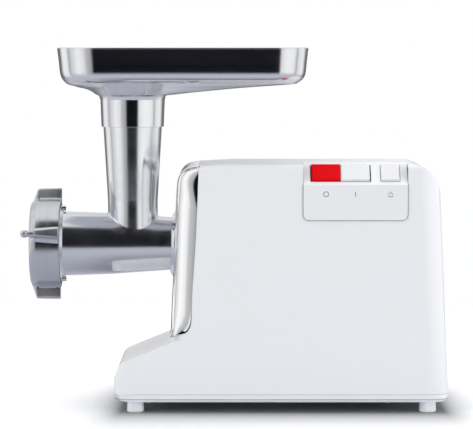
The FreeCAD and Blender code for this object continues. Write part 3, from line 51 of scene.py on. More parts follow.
print("frame loaded:", len(nodes), "nodes")


# shader groups that several finishes share

def newGroup(name, inputs, outputs):
    tree = bpy.data.node_groups.new(name, "ShaderNodeTree")
    for label, kind, value in inputs:
        socket = tree.interface.new_socket(name=label, in_out="INPUT", socket_type=kind)
        socket.default_value = value
    for label, kind in outputs:
        tree.interface.new_socket(name=label, in_out="OUTPUT", socket_type=kind)
    return tree, tree.nodes.new("NodeGroupInput"), tree.nodes.new("NodeGroupOutput")


def mathNode(tree, operation, first, second=None, third=None):
    node = tree.nodes.new("ShaderNodeMath")
    node.operation = operation
    for index, value in enumerate((first, second, third)):
        if value is None:
            continue
        if hasattr(value, "links"):
            tree.links.new(value, node.inputs[index])
        else:
            node.inputs[index].default_value = value
    return node.outputs[0]


def vectorNode(tree, operation, first, second):
    node = tree.nodes.new("ShaderNodeVectorMath")
    node.operation = operation
    for index, value in enumerate((first, second)):
        if hasattr(value, "links"):
            tree.links.new(value, node.inputs[index])
        else:
            node.inputs[index].default_value = value
    return node.outputs[0]


def noiseNode(tree, vector, scale, detail, roughness=0.5):
    node = tree.nodes.new("ShaderNodeTexNoise")
    node.inputs["Detail"].default_value = detail
    node.inputs["Roughness"].default_value = roughness
    tree.links.new(vector, node.inputs["Vector"])
    if hasattr(scale, "links"):
        tree.links.new(scale, node.inputs["Scale"])
    else:
        node.inputs["Scale"].default_value = scale
    return node.outputs[0]


def rangeNode(tree, value, low, high, newLow=0.0, newHigh=1.0):
    node = tree.nodes.new("ShaderNodeMapRange")
    tree.links.new(value, node.inputs[0])
    for index, setting in enumerate((low, high, newLow, newHigh), 1):
        if hasattr(setting, "links"):
            tree.links.new(setting, node.inputs[index])
        else:
            node.inputs[index].default_value = setting
    return node.outputs[0]


def mixColour(tree, share, first, second):
    # a socket or a plain colour on each side, mixed by the share's socket
    node = tree.nodes.new("ShaderNodeMix")
    node.data_type = "RGBA"
    tree.links.new(share, node.inputs[0])
    for index, value in ((6, first), (7, second)):
        if hasattr(value, "links"):
            tree.links.new(value, node.inputs[index])
        else:
            node.inputs[index].default_value = (*value, 1.0)
    return node.outputs[2]


def buildGrain():
    # fine noise for a surface's tooth, with a wide soft noise for handling marks
    tree, source, sink = newGroup(
        "surfaceGrain",
        [("Vector", "NodeSocketVector", (0, 0, 0)), ("Fine", "NodeSocketFloat", 900.0),
         ("Wide", "NodeSocketFloat", 22.0)],
        [("Tooth", "NodeSocketFloat"), ("Haze", "NodeSocketFloat")])
    tooth = noiseNode(tree, source.outputs["Vector"], source.outputs["Fine"], 4.0, 0.6)
    wide = noiseNode(tree, source.outputs["Vector"], source.outputs["Wide"], 5.0, 0.62)
    tree.links.new(rangeNode(tree, tooth, 0.3, 0.7), sink.inputs["Tooth"])
    tree.links.new(rangeNode(tree, wide, 0.36, 0.68), sink.inputs["Haze"])
    return tree


def buildBrushing():
    # noise drawn out along one direction: the vector is stretched before it reaches the noise
    tree, source, sink = newGroup(
        "brushedLines",
        [("Vector", "NodeSocketVector", (0, 0, 0)), ("Stretch", "NodeSocketVector", (8, 900, 900))],
        [("Lines", "NodeSocketFloat"), ("Bands", "NodeSocketFloat")])
    drawn = vectorNode(tree, "MULTIPLY", source.outputs["Vector"], source.outputs["Stretch"])
    lines = noiseNode(tree, drawn, 1.0, 5.0, 0.65)
    bands = noiseNode(tree, drawn, 0.16, 3.0, 0.5)
    tree.links.new(rangeNode(tree, lines, 0.25, 0.75), sink.inputs["Lines"])
    tree.links.new(rangeNode(tree, bands, 0.3, 0.7), sink.inputs["Bands"])
    return tree


def buildLathe():
    # rings round an axis: noise read from the distance to the axis and the place along it
    tree, source, sink = newGroup(
        "latheRings",
        [("Vector", "NodeSocketVector", (0, 0, 0)), ("Fine", "NodeSocketFloat", 1500.0)],
        [("Rings", "NodeSocketFloat"), ("Bands", "NodeSocketFloat"), ("Radius", "NodeSocketFloat")])
    split = tree.nodes.new("ShaderNodeSeparateXYZ")
    tree.links.new(source.outputs["Vector"], split.inputs[0])
    radius = mathNode(tree, "SQRT", mathNode(tree, "ADD", mathNode(tree, "POWER", split.outputs[0], 2.0),
                                             mathNode(tree, "POWER", split.outputs[1], 2.0)))
    join = tree.nodes.new("ShaderNodeCombineXYZ")
    tree.links.new(radius, join.inputs[0])
    tree.links.new(split.outputs[2], join.inputs[1])
    rings = noiseNode(tree, join.outputs[0], source.outputs["Fine"], 3.0, 0.6)
    bands = noiseNode(tree, join.outputs[0], 160.0, 2.0)
    tree.links.new(rangeNode(tree, rings, 0.3, 0.7), sink.inputs["Rings"])
    tree.links.new(rangeNode(tree, bands, 0.35, 0.65), sink.inputs["Bands"])
    tree.links.new(radius, sink.inputs["Radius"])
    return tree


shaderGroups = {"grain": buildGrain(), "brush": buildBrushing(), "lathe": buildLathe()}


# finishes, one for each material slot of the record; a finish changes only what differs from plain
# fine and wide are noise scales per metre, second is the second shade as a share of the first, where 1.0 keeps
# one plain shade, and centre and turn place the lathe rings' axis

plain = {"metallic": 0.0, "rough": (0.3, 0.4), "fine": 900.0, "wide": 22.0, "bump": 0.02, "depth": 0.0002,
         "pattern": "grain", "stretch": (8, 900, 900), "turn": (0, 0, 0), "centre": (0, 0, 0), "coat": 0.0,
         "coatRough": 0.05, "second": 0.94, "specular": 0.5, "patternFine": 1500.0, "satin": None,
         "upright": None}

finishes = {
    "white_plastic": {"colour": (0.825, 0.835, 0.862), "rough": (0.25, 0.27), "bump": 0.035, "fine": 420.0,
                      "wide": 6.0, "second": 1.0, "coat": 0.14, "coatRough": 0.08, "specular": 0.38},
    "base_plastic": {"colour": (0.84, 0.86, 0.91), "rough": (0.32, 0.36), "bump": 0.05, "fine": 600.0,
                     "second": 0.995},
    "panel_plastic": {"colour": (0.825, 0.835, 0.862), "rough": (0.22, 0.25), "bump": 0.03, "fine": 500.0,
                      "second": 1.0, "coat": 0.2},
    "knob_plastic": {"colour": (0.82, 0.83, 0.86), "rough": (0.22, 0.32), "bump": 0.05, "fine": 500.0},
    "gland_plastic": {"colour": (0.74, 0.75, 0.78), "rough": (0.4, 0.52), "bump": 0.08, "fine": 900.0},
    "white_key": {"colour": (0.77, 0.775, 0.79), "rough": (0.2, 0.26), "bump": 0.02, "fine": 500.0,
                  "second": 0.99, "coat": 0.15},
    "red_key": {"colour": (0.72, 0.003, 0.006), "rough": (0.34, 0.42), "bump": 0.02, "fine": 500.0,
                "second": 0.97, "specular": 0.04},
    "dark_plastic": {"colour": (0.022, 0.022, 0.025), "rough": (0.42, 0.55), "bump": 0.1, "fine": 1300.0},
    "fan_plastic": {"colour": (0.05, 0.052, 0.058), "rough": (0.45, 0.6), "bump": 0.1, "fine": 1300.0},
    "gear_nylon": {"colour": (0.72, 0.66, 0.50), "rough": (0.35, 0.5), "bump": 0.05, "fine": 700.0},
    "bush_nylon": {"colour": (0.74, 0.74, 0.70), "rough": (0.35, 0.48), "bump": 0.05, "fine": 700.0},
    "foot_rubber": {"colour": (0.82, 0.835, 0.865), "rough": (0.5, 0.66), "bump": 0.12, "fine": 1500.0,
                    "second": 0.9},
    "seal_rubber": {"colour": (0.018, 0.018, 0.019), "rough": (0.55, 0.7), "bump": 0.12, "fine": 1500.0},
    "carbon": {"colour": (0.02, 0.02, 0.021), "rough": (0.5, 0.62), "bump": 0.15, "fine": 1800.0},
    "chromed_plate": {"colour": (0.92, 0.925, 0.935), "metallic": 1.0, "rough": (0.035, 0.07), "bump": 0.004,
                      "fine": 260.0, "wide": 14.0, "second": 0.985},
    "cast_aluminium": {"colour": (0.79, 0.80, 0.83), "metallic": 1.0, "rough": (0.14, 0.255), "bump": 0.06,
                       "fine": 240.0, "wide": 30.0, "pattern": "brush", "stretch": (26, 520, 520),
                       "upright": 0.205},
    "ring_aluminium": {"colour": (0.61, 0.625, 0.66), "metallic": 1.0, "rough": (0.17, 0.25), "bump": 0.03,
                       "satin": (0.0455, 0.0475, 0.15), "fine": 300.0, "pattern": "lathe", "turn": (0, 90, 0),
                       "centre": (0, 0, 0.1614), "patternFine": 900.0},
    "tray_aluminium": {"colour": (0.80, 0.805, 0.83), "metallic": 1.0, "rough": (0.09, 0.15), "bump": 0.07,
                       "fine": 260.0, "wide": 16.0, "pattern": "brush", "stretch": (14, 700, 700)},
    "auger_cast": {"colour": (0.62, 0.62, 0.64), "metallic": 1.0, "rough": (0.3, 0.42), "bump": 0.18,
                   "fine": 520.0},
    "cast_box": {"colour": (0.48, 0.48, 0.50), "metallic": 1.0, "rough": (0.42, 0.58), "bump": 0.3, "fine": 620.0},
    "knife_steel": {"colour": (0.58, 0.58, 0.60), "metallic": 1.0, "rough": (0.2, 0.34), "bump": 0.05,
                    "pattern": "lathe", "turn": (0, 90, 0), "centre": (0, 0, 0.1614), "patternFine": 1500.0},
    "plate_steel": {"colour": (0.55, 0.555, 0.58), "metallic": 1.0, "rough": (0.2, 0.34), "bump": 0.05,
                    "pattern": "lathe", "turn": (0, 90, 0), "centre": (0, 0, 0.1614), "patternFine": 1500.0},
    "bearing_steel": {"colour": (0.60, 0.60, 0.62), "metallic": 1.0, "rough": (0.14, 0.24), "bump": 0.03,
                      "pattern": "brush", "stretch": (900, 60, 60)},
    "spring_steel": {"colour": (0.45, 0.45, 0.47), "metallic": 1.0, "rough": (0.22, 0.34), "bump": 0.04},
    "zinc_screw": {"colour": (0.58, 0.59, 0.60), "metallic": 1.0, "rough": (0.26, 0.38), "bump": 0.06},
    "zinc_sheet": {"colour": (0.52, 0.53, 0.55), "metallic": 1.0, "rough": (0.3, 0.46), "bump": 0.05,
                   "fine": 180.0},
    "gear_steel": {"colour": (0.34, 0.34, 0.36), "metallic": 1.0, "rough": (0.26, 0.4), "bump": 0.05},
    "lamination_steel": {"colour": (0.24, 0.24, 0.26), "metallic": 1.0, "rough": (0.4, 0.55), "bump": 0.5,
                         "pattern": "brush", "stretch": (1500, 6, 6)},
    "copper_wire": {"colour": (0.55, 0.20, 0.07), "metallic": 1.0, "rough": (0.3, 0.42), "bump": 0.5,
                    "pattern": "brush", "stretch": (9, 1100, 1100)},
    "commutator_copper": {"colour": (0.62, 0.30, 0.16), "metallic": 1.0, "rough": (0.2, 0.34), "bump": 0.06},
    "brush_brass": {"colour": (0.68, 0.50, 0.20), "metallic": 1.0, "rough": (0.22, 0.34), "bump": 0.04},
    "sintered_bronze": {"colour": (0.50, 0.34, 0.17), "metallic": 1.0, "rough": (0.4, 0.55), "bump": 0.2,
                        "fine": 1600.0},
}


def mixNumber(tree, share, low, high):
    return mathNode(tree, "MULTIPLY_ADD", mathNode(tree, "SUBTRACT", high, low), share, low)


def placeGroup(tree, key, coordinates):
    node = tree.nodes.new("ShaderNodeGroup")
    node.node_tree = shaderGroups[key]
    tree.links.new(coordinates, node.inputs["Vector"])
    return node


turnOver = 0.004  # half of the height over which upright brush lines take over, in metres


def makeFinish(name, given):
    # two close shades and two roughnesses mixed by wide haze, with the pattern as a bump
    look = {**plain, **given}
    material = bpy.data.materials.new(name)
    material.use_nodes = True
    tree = material.node_tree
    shader = tree.nodes["Principled BSDF"]
    shader.inputs["Metallic"].default_value = look["metallic"]
    shader.inputs["Specular IOR Level"].default_value = look["specular"]
    shader.inputs["Coat Weight"].default_value = look["coat"]
    shader.inputs["Coat Roughness"].default_value = look["coatRough"]
    here = tree.nodes.new("ShaderNodeTexCoord").outputs["Object"]
    grain = placeGroup(tree, "grain", here)
    grain.inputs["Fine"].default_value = look["fine"]
    grain.inputs["Wide"].default_value = look["wide"]
    height, haze = grain.outputs["Tooth"], grain.outputs["Haze"]
    if look["pattern"] == "brush":
        brush = placeGroup(tree, "brush", here)
        brush.inputs["Stretch"].default_value = look["stretch"]
        height, bands = brush.outputs["Lines"], brush.outputs["Bands"]
        if look["upright"]:
            # above this height the lines run up and down, so the stretch is turned as well
            raised = tree.nodes.new("ShaderNodeSeparateXYZ")
            tree.links.new(here, raised.inputs[0])
            share = rangeNode(tree, raised.outputs[2], look["upright"] - turnOver, look["upright"] + turnOver)
            along, across, _ = look["stretch"]
            second = placeGroup(tree, "brush", here)
            second.inputs["Stretch"].default_value = (across, across, along)
            height, bands = (mixNumber(tree, share, low, high) for low, high in
                             ((height, second.outputs["Lines"]), (bands, second.outputs["Bands"])))
        haze = mathNode(tree, "MULTIPLY_ADD", bands, 0.5, mathNode(tree, "MULTIPLY", haze, 0.5))
    if look["pattern"] == "lathe":
        moved = tree.nodes.new("ShaderNodeMapping")
        moved.vector_type = "TEXTURE"
        moved.inputs["Location"].default_value = look["centre"]
        moved.inputs["Rotation"].default_value = [math.radians(v) for v in look["turn"]]
        tree.links.new(here, moved.inputs["Vector"])
        lathe = placeGroup(tree, "lathe", moved.outputs[0])
        lathe.inputs["Fine"].default_value = look["patternFine"]
        height = lathe.outputs["Rings"]
        radius = lathe.outputs["Radius"]
        haze = mathNode(tree, "MULTIPLY_ADD", lathe.outputs["Bands"], 0.5,
                        mathNode(tree, "MULTIPLY", haze, 0.5))
    if look["second"] == 1.0:
        shader.inputs["Base Color"].default_value = (*look["colour"], 1.0)
    else:
        shade = [channel * look["second"] for channel in look["colour"]]
        tree.links.new(mixColour(tree, haze, look["colour"], shade), shader.inputs["Base Color"])
    rough = rangeNode(tree, haze, 0.0, 1.0, *look["rough"])
    if look["satin"]:
        # beyond a radius the surface is satin; the three values are two radii and the added roughness
        near, far, added = look["satin"]
        rough = mathNode(tree, "ADD", rough, rangeNode(tree, radius, near, far, 0.0, added))
    tree.links.new(rough, shader.inputs["Roughness"])
    bump = tree.nodes.new("ShaderNodeBump")
    bump.inputs["Strength"].default_value = look["bump"]
    bump.inputs["Distance"].default_value = look["depth"]
    tree.links.new(height, bump.inputs["Height"])
    tree.links.new(bump.outputs[0], shader.inputs["Normal"])
    return material


materials = {name: makeFinish(name, given) for name, given in finishes.items()}
for nodeName, nodeObject in nodes.items():
    nodeObject.data.materials.clear()
    nodeObject.data.materials.append(materials[slotOfNode[nodeName]])
print("finishes made:", len(materials))


# mesh helpers; shapes are worked out in millimetres and stored in metres

def gridFaces(rows, columns, closedRows, closedColumns, first):
    # the four corners of every cell of a grid of points, as numbers of vertices
    index = np.arange(rows * columns).reshape(rows, columns) + first
    if closedRows:
        index = np.vstack([index, index[:1]])
    if closedColumns:
        index = np.hstack([index, index[:, :1]])
    return np.stack([index[:-1, :-1], index[:-1, 1:], index[1:, 1:], index[1:, :-1]], -1).reshape(-1, 4)


def addPiece(name, grids, body, slotName, replaced=(), crease=35.0, wall=0.0, keepFace=None):
    # grids: (points, closed along rows, closed along columns); the piece is one smooth mesh
    points, faces, first = [], [], 0
    for grid, closedRows, closedColumns in grids:
        rows, columns = grid.shape[:2]
        points.append(grid.reshape(-1, 3) / 1000.0)
        faces.append(gridFaces(rows, columns, closedRows, closedColumns, first))
        first += rows * columns
    points, faces = np.vstack(points), np.vstack(faces)
    if keepFace is not None:
        faces = faces[keepFace(points[faces] * 1000.0)]
    mesh = bpy.data.meshes.new(name)
    mesh.from_pydata(points.tolist(), [], faces.tolist())
    edit = bmesh.new()
    edit.from_mesh(mesh)
    bmesh.ops.remove_doubles(edit, verts=edit.verts, dist=2e-6)
    bmesh.ops.dissolve_degenerate(edit, dist=1e-7, edges=edit.edges)
    bmesh.ops.recalc_face_normals(edit, faces=edit.faces)
    edit.to_mesh(mesh)
    edit.free()
    mesh.polygons.foreach_set("use_smooth", np.ones(len(mesh.polygons), bool))
    mesh.set_sharp_from_angle(angle=math.radians(crease))
    piece = bpy.data.objects.new(name, mesh)
    bpy.context.scene.collection.objects.link(piece)
    mesh.materials.append(materials[slotName])
    if wall:
        thick = piece.modifiers.new("wall", "SOLIDIFY")
        thick.thickness = wall / 1000.0
        thick.offset = -1.0
    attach(piece, body)
    if replaced:
        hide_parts(*replaced)
    return piece


def smoothThrough(controls, steps):
    # a Catmull-Rom curve through the control rows; a row given twice makes a corner there
    table = np.array(controls, float)
    before = np.vstack([table[:1], table[:-1]])
    after = np.vstack([table[2:], table[-1:], table[-1:]])
    t = (np.arange(steps) / steps)[None, :, None]
    p0, p1, p2, p3 = (rows[:-1, None, :] for rows in (before, table, np.vstack([table[1:], table[-1:]]), after))
    curve = 0.5 * (2 * p1 + (p2 - p0) * t + (2 * p0 - 5 * p1 + 4 * p2 - p3) * t ** 2
                   + (3 * p1 - p0 - 3 * p2 + p3) * t ** 3)
    same = np.isclose(p1, p2).all(-1)[:, :, None]
    curve = np.where(same, p1, curve)
    return np.vstack([curve.reshape(-1, table.shape[1]), table[-1:]])


def smoothStep(value):
    # 3 t squared - 2 t cubed, with t held between 0 and 1
    value = np.clip(value, 0.0, 1.0)
    return value * value * (3.0 - 2.0 * value)


def boxInMm(node):
    low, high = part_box(node)
    return np.array(low) * 1000.0, np.array(high) * 1000.0


def evenPoints(line, count, closed=False):
    # points at equal steps of length along a line of points
    length = np.concatenate([[0.0], np.cumsum(np.hypot(*np.diff(line, axis=0).T))])
    at = np.linspace(0.0, length[-1], count, endpoint=not closed)
    return np.stack([np.interp(at, length, line[:, 0]), np.interp(at, length, line[:, 1])], -1)


# the drive axis runs along X at this height, and the neck stands over this X
axisHeight = (boxInMm("output_gear")[0][2] + boxInMm("output_gear")[1][2]) / 2
throat = next(box for box in frame["record"]["physics"]["openings"] if box["name"] == "feed_throat")["box_m"]
neckX = (throat[0][0] + throat[1][0]) / 2 * 1000.0


# feed tray: rounded rectangles that turn into the collar's circle on their way down

tray = {"frontCorner": 42.0, "rearCorner": 33.0, "cornerShrink": 0.6, "arcPoints": 25, "around": 384, "steps": 5,
        "collarTop": 309.0, "collarRadius": 30.9, "bore": 29.15, "outlineStep": 16.0, "frontDip": 2.2,
        "dipBelowRim": 24.0, "dipReach": 12.0, "dipShare": 1.4}


def buildTray():
    # a point is the rim's point times (1 - share) plus the circle's point times share, at the row's height
    low, high = boxInMm("feed_tray")
    left, right, half, rim = low[0], high[0], high[1], high[2]

    def rimRing(step):
        # points of a rounded rectangle set in by step, spread evenly along its four sides and arcs
        front, rear = (tray[key] - step * tray["cornerShrink"] for key in ("frontCorner", "rearCorner"))
        x0, x1, y1 = left + step, right - step, half - step
        corners = ((x1 - rear, -y1 + rear, rear, -90.0), (x1 - rear, y1 - rear, rear, 0.0),
                   (x0 + front, y1 - front, front, 90.0), (x0 + front, -y1 + front, front, 180.0))
        arcs = []
        for x, y, radius, start in corners:
            angle = np.radians(start + np.linspace(0.0, 90.0, tray["arcPoints"]))
            arcs.append(np.stack([x + radius * np.cos(angle), y + radius * np.sin(angle)], -1))
        return evenPoints(np.vstack(arcs + [arcs[0][:1]]), tray["around"], closed=True)

    # control rows: step in from the rim, share of the way to the circle, circle radius, height
    top, collar, bore, foot = tray["collarTop"], tray["collarRadius"], tray["bore"], low[2]
    outside = [(16, 1, collar, foot), (16, 1, collar, foot), (16, 1, collar + 0.25, foot + 0.6),
               (16, 1, collar + 1.1, top - 7), (16, 1, collar + 1.7, top - 2.5), (16, 1, collar + 3.2, top + 0.2),
               (16, 0.93, collar + 4.5, top + 1.4), (16, 0.75, collar + 4, top + 3.9),
               (16, 0.4, collar + 4, top + 8.2), (17, 0.0, collar + 4, rim - 36.0), (10.5, 0, collar, rim - 34.3),
               (5.6, 0, collar, rim - 30.6), (3.0, 0, collar, rim - 25.6), (1.7, 0, collar, rim - 14),
               (0.3, 0, collar, rim - 2.2), (0.0, 0, collar, rim - 1.0), (0.25, 0, collar, rim - 0.3),
               (0.8, 0, collar, rim)]
    inside = [(1.4, 0, collar, rim - 0.3), (1.7, 0, collar, rim - 1.0), (2.0, 0, collar, rim - 2.4),
              (3.3, 0, collar, rim - 14), (4.7, 0, collar, rim - 24.8), (7.4, 0, collar, rim - 29.2),
              (12.2, 0, collar, rim - 32.7), (19, 0, collar + 4, rim - 34.3), (18, 0.4, collar + 2, top + 10.0),
              (16, 0.78, collar + 1, top + 5.2), (16, 0.96, collar - 0.2, top + 2.9), (16, 1, bore + 0.6, top + 1.6),
              (16, 1, bore, top), (16, 1, bore, foot), (16, 1, bore, foot)]
    rows = smoothThrough(outside + inside, tray["steps"])
    outline = rimRing(tray["outlineStep"])
    towards = np.arctan2(outline[:, 1], outline[:, 0] - neckX)
    frontward = smoothStep(-np.cos(towards))
    share, radius, height = (column[:, None] for column in rows.T[1:])
    circle = np.stack([neckX + radius * np.cos(towards), radius * np.sin(towards)], -1)
    rims = np.stack([rimRing(value) for value in rows[:, 0]])
    plan = rims * (1 - share[:, :, None]) + circle * share[:, :, None]
    # the floor dips a little towards the front, between the wall and the collar
    dip = (tray["frontDip"] * frontward * smoothStep((rim - tray["dipBelowRim"] - height) / tray["dipReach"])
           * (1 - smoothStep(share * tray["dipShare"])))
    grid = np.concatenate([plan, (height - dip)[:, :, None]], -1)
    return addPiece("feedTray", [(grid, True, True)], "tray", "tray_aluminium", ["feed_tray"], crease=40)


# ring nut: a closed section carried round the axis, swelling into four ears

ring = {"around": 864, "steps": 5, "depth": 29.6, "radius": 43.6, "bore": 39.3, "mouth": 31.5, "lip": 3.5,
        "ears": 4, "tilt": 15.0, "earHeight": 12.4, "earRadius": 50.0, "rearHalf": 4.7, "frontHalf": 2.7,
        "crown": 0.035, "flank": 2.0, "flare": 1.5, "flareReach": 5.5, "nubAt": 49.5, "nubAround": 40}


def buildRing():
    # radius = base + share * the larger of the ear's height and the low flare beside it; an ear's height is a
    # smooth step of the distance across it, slightly crowned
    rear = boxInMm("ring_nut")[1][0]
    front, radius = rear - ring["depth"], ring["radius"]
    # control rows: place along the axis, radius, share of the ear
    section = [(rear, ring["bore"], 0), (rear, ring["bore"], 0), (rear, radius - 1.0, 0), (rear, radius - 0.6, 0.97),
               (rear - 0.25, radius - 0.2, 0.99), (rear - 0.9, radius, 1), (rear - 8, radius, 1),
               (front + 12, radius - 0.1, 1), (front + 7.6, radius - 0.3, 1), (front + 6.6, radius - 0.4, 0.985),
               (front + 5.8, radius - 0.5, 0.93), (front + 1.9, radius - 1.7, 0.16), (front + 0.9, radius - 2.6, 0.02),
               (front + 0.3, radius - 3.6, 0), (front, radius - 5.0, 0), (front, radius - 8, 0),
               (front, ring["mouth"] + 0.8, 0), (front + 0.3, ring["mouth"] + 0.2, 0),
               (front + 0.9, ring["mouth"], 0), (front + ring["lip"], ring["mouth"], 0),
               (front + ring["lip"], ring["mouth"], 0), (front + ring["lip"], ring["bore"], 0),
               (front + ring["lip"], ring["bore"], 0), (rear, ring["bore"], 0)]
    rows = smoothThrough(section, ring["steps"])[:-1]
    angle = np.linspace(0, 2 * np.pi, ring["around"], endpoint=False)
    start = math.radians(ring["tilt"])
    apart = 2 * np.pi / ring["ears"]
    away = (angle - start + apart / 2) % apart - apart / 2
    along, base, share = rows[:, 0:1], rows[:, 1:2], rows[:, 2:3]
    back = smoothStep((along - front) / (rear - front))
    half = ring["frontHalf"] + (ring["rearHalf"] - ring["frontHalf"]) * back
    across = np.abs(away)[None, :] * ring["earRadius"]
    ear = smoothStep((half + ring["flank"] / 2 - across) / ring["flank"])
    crown = 1.0 - ring["crown"] * (across / half) ** 2
    flare = ring["flare"] * smoothStep((half + ring["flareReach"] - across) / ring["flareReach"])
    out = base + share * np.maximum(ring["earHeight"] * ear * crown, flare)
    grid = np.stack([np.broadcast_to(along, out.shape), -out * np.cos(angle)[None, :],
                     axisHeight + out * np.sin(angle)[None, :]], -1)

    # the nub on the ear beside the panel is a turned profile: place along the axis, radius
    nubProfile = [(front + 8, 0.4), (front + 8, 2.6), (front + 1.5, 3.1), (front - 0.8, 2.9), (front - 1.8, 3.3),
                  (front - 2.8, 3.65), (front - 4.2, 3.7), (front - 5.6, 3.35), (front - 6.8, 2.4),
                  (front - 7.35, 1.2), (front - 7.5, 0.02)]
    nub = smoothThrough(nubProfile, 4)
    turnBy = np.linspace(0, 2 * np.pi, ring["nubAround"], endpoint=False)
    centreY, centreZ = -ring["nubAt"] * math.cos(start), axisHeight + ring["nubAt"] * math.sin(start)
    across, upward = nub[:, 1:2] * np.cos(turnBy), nub[:, 1:2] * np.sin(turnBy)
    nubGrid = np.stack([np.broadcast_to(nub[:, 0:1], across.shape), centreY + across, centreZ + upward], -1)
    return addPiece("ringNut", [(grid, True, True), (nubGrid, False, True)], "ring", "ring_aluminium", ["ring_nut"],
                    crease=62)


# chromed faceplate: the front outline carried round two wide corners to the joint with the housing

face = {"cornerDepth": 15.5, "turn": (71.5, 82.0), "power": (2.0, 2.8), "upperFrom": 208.0, "upperReach": 34.0,
        "rows": 160, "across": 48, "corner": 26, "steps": 7, "proud": 0.25, "lip": 0.9, "wall": 1.6,
        "hubRadius": 26.1, "holeGap": 0.8, "boss": 4.0, "bossReach": 9.0}


def buildFaceplate():
    # a point lies between the front outline and the joint line, by how far round the corner's section it is
    halfWidth = boxInMm("faceplate")[1][1] + face["proud"]
    # front outline in side view, from the bottom up and over the top radius, as x, z
    frontLine = smoothThrough([(-62.9, 75.9), (-62.9, 75.9), (-62.2, 90), (-61.2, 112), (-60.0, 136), (-58.2, 184),
                               (-57.4, 203), (-56.6, 218), (-55.6, 227.5), (-53.6, 233.0), (-50.0, 237.2),
                               (-45.5, 239.9), (-40.0, 241.3), (-34.8, 241.7), (-34.8, 241.7)], face["steps"])
    # the joint with the housing on the flat sides, from the bottom up
    jointLine = smoothThrough([(-62.9, 75.7), (-62.9, 75.7), (-61.7, 75.8), (-52.9, 77.3), (-47.1, 79.1),
                               (-44.2, 82.6), (-42.6, 86.5), (-41.8, 92), (-41.2, 116), (-39.3, 145),
                               (-37.4, 175), (-36.3, 200), (-35.5, 223), (-35.0, 236), (-34.8, 241.7),
                               (-34.8, 241.7)], face["steps"])
    front, joint = evenPoints(frontLine, face["rows"]), evenPoints(jointLine, face["rows"])
    # the corner's section is |x|^p + |y|^p = 1, squarer towards the top, and stops short of facing sideways
    upper = smoothStep((front[:, 1] - face["upperFrom"]) / face["upperReach"])[:, None]
    power = face["power"][0] + (face["power"][1] - face["power"][0]) * upper
    last = np.radians(face["turn"][0] + (face["turn"][1] - face["turn"][0]) * upper)
    turn = np.linspace(1.0, 0.0, face["corner"])[None, :] * last
    backShare = (1 - np.cos(turn) ** (2 / power)) / (1 - np.cos(last) ** (2 / power))
    depth = (np.sin(turn) / np.sin(last)) ** (2 / power)
    flat = halfWidth - face["cornerDepth"]
    middle = np.broadcast_to(np.linspace(-flat, flat, face["across"])[1:-1], (face["rows"], face["across"] - 2))
    near = -flat - face["cornerDepth"] * depth
    lip = np.full((face["rows"], 1), halfWidth - face["lip"])
    widths = np.hstack([-lip, near, middle, -near[:, ::-1], lip])
    one, none = np.ones((face["rows"], 1)), np.zeros(middle.shape)
    backs = np.hstack([one, backShare, none, backShare[:, ::-1], one])[:, :, None]
    plan = front[:, None, :] * (1 - backs) + joint[:, None, :] * backs
    grid = np.stack([plan[:, :, 0], widths, plan[:, :, 1]], -1)
    # points inside the round mouth are pushed out onto its edge, and the plate swells forward round it
    y, z = grid[:, :, 1], grid[:, :, 2] - axisHeight
    reach = np.hypot(y, z)
    edge = face["hubRadius"] + face["holeGap"]
    pushed = np.where(reach < edge, edge / np.maximum(reach, 1e-6), 1.0)
    grid[:, :, 1], grid[:, :, 2] = y * pushed, z * pushed + axisHeight
    swell = smoothStep(1 - (np.maximum(reach, edge) - edge) / face["bossReach"])
    grid[:, :, 0] -= face["boss"] * swell

    def outsideMouth(corners):
        distance = np.hypot(corners[:, :, 1], corners[:, :, 2] - axisHeight)
        return ~(distance < edge + 1e-3).all(1)

    return addPiece("chromeFaceplate", [(grid, False, False)], "machine", "chromed_plate", ["faceplate"],
                    crease=50, wall=face["wall"], keepFace=outsideMouth)


# flat strips: printed signs on the panel, and dark strips of painted shadow in the joints round the panel and above
# the base

# the joint widths here are the widths of the dark strips of painted shadow in the gaps
strips = {"height": 214.5, "line": 0.55, "proud": 0.06, "size": 2.4, "arrow": 0.35, "joint": 0.42,
          "jointProud": 0.05, "panelGap": 0.1, "panelCorner": 6.0, "slopeFrom": 223.5, "slope": 19.0,
          "baseReach": 70.0, "baseCorner": 18.0, "baseGapShadow": 0.34, "baseDrop": 0.15}


def ribbon(middle, sideways, width):
    # a flat band of this width laid along a line of points, spread along the given directions
    half = np.asarray(sideways, float) * (width / 2)
    return np.stack([middle - half, middle + half], 0)


def buildSigns():
    # a ring, a bar and an arrowhead over a line, each below its own key
    y, size = boxInMm("control_panel")[0][1] - strips["proud"], strips["size"]
    centres = [np.mean(boxInMm(node), axis=0)[0] for node in ("rocker_red_key", "rocker_white_key", "breaker_button")]

    def sign(points, centre, closed):
        # the band's sideways direction is the mean of the two neighbouring edges' normals
        flat = np.array(points, float)
        after = np.roll(flat, -1, 0) if closed else np.vstack([flat[1:], 2 * flat[-1:] - flat[-2:-1]])
        before = np.roll(flat, 1, 0) if closed else np.vstack([2 * flat[:1] - flat[1:2], flat[:-1]])
        run = after - before
        normal = np.stack([-run[:, 1], run[:, 0]], -1) / np.hypot(*run.T)[:, None]
        three = np.stack([flat[:, 0] + centre, np.full(len(flat), y), flat[:, 1] + strips["height"]], -1)
        spread = np.stack([normal[:, 0], np.zeros(len(flat)), normal[:, 1]], -1)
        return ribbon(three, spread, strips["line"]), False, closed

    angle, wing = np.linspace(0, 2 * np.pi, 48, endpoint=False), -size * strips["arrow"]
    signs = [sign(np.stack([np.cos(angle), np.sin(angle)], -1) * size, centres[0], True),
             sign([(0, -size), (0, size)], centres[1], False),
             sign([(-size, wing), (0, size), (size, wing)], centres[2], False),
             sign([(-size, -size), (size, -size)], centres[2], False)]
    return addPiece("panelSigns", signs, "machine", "dark_plastic")


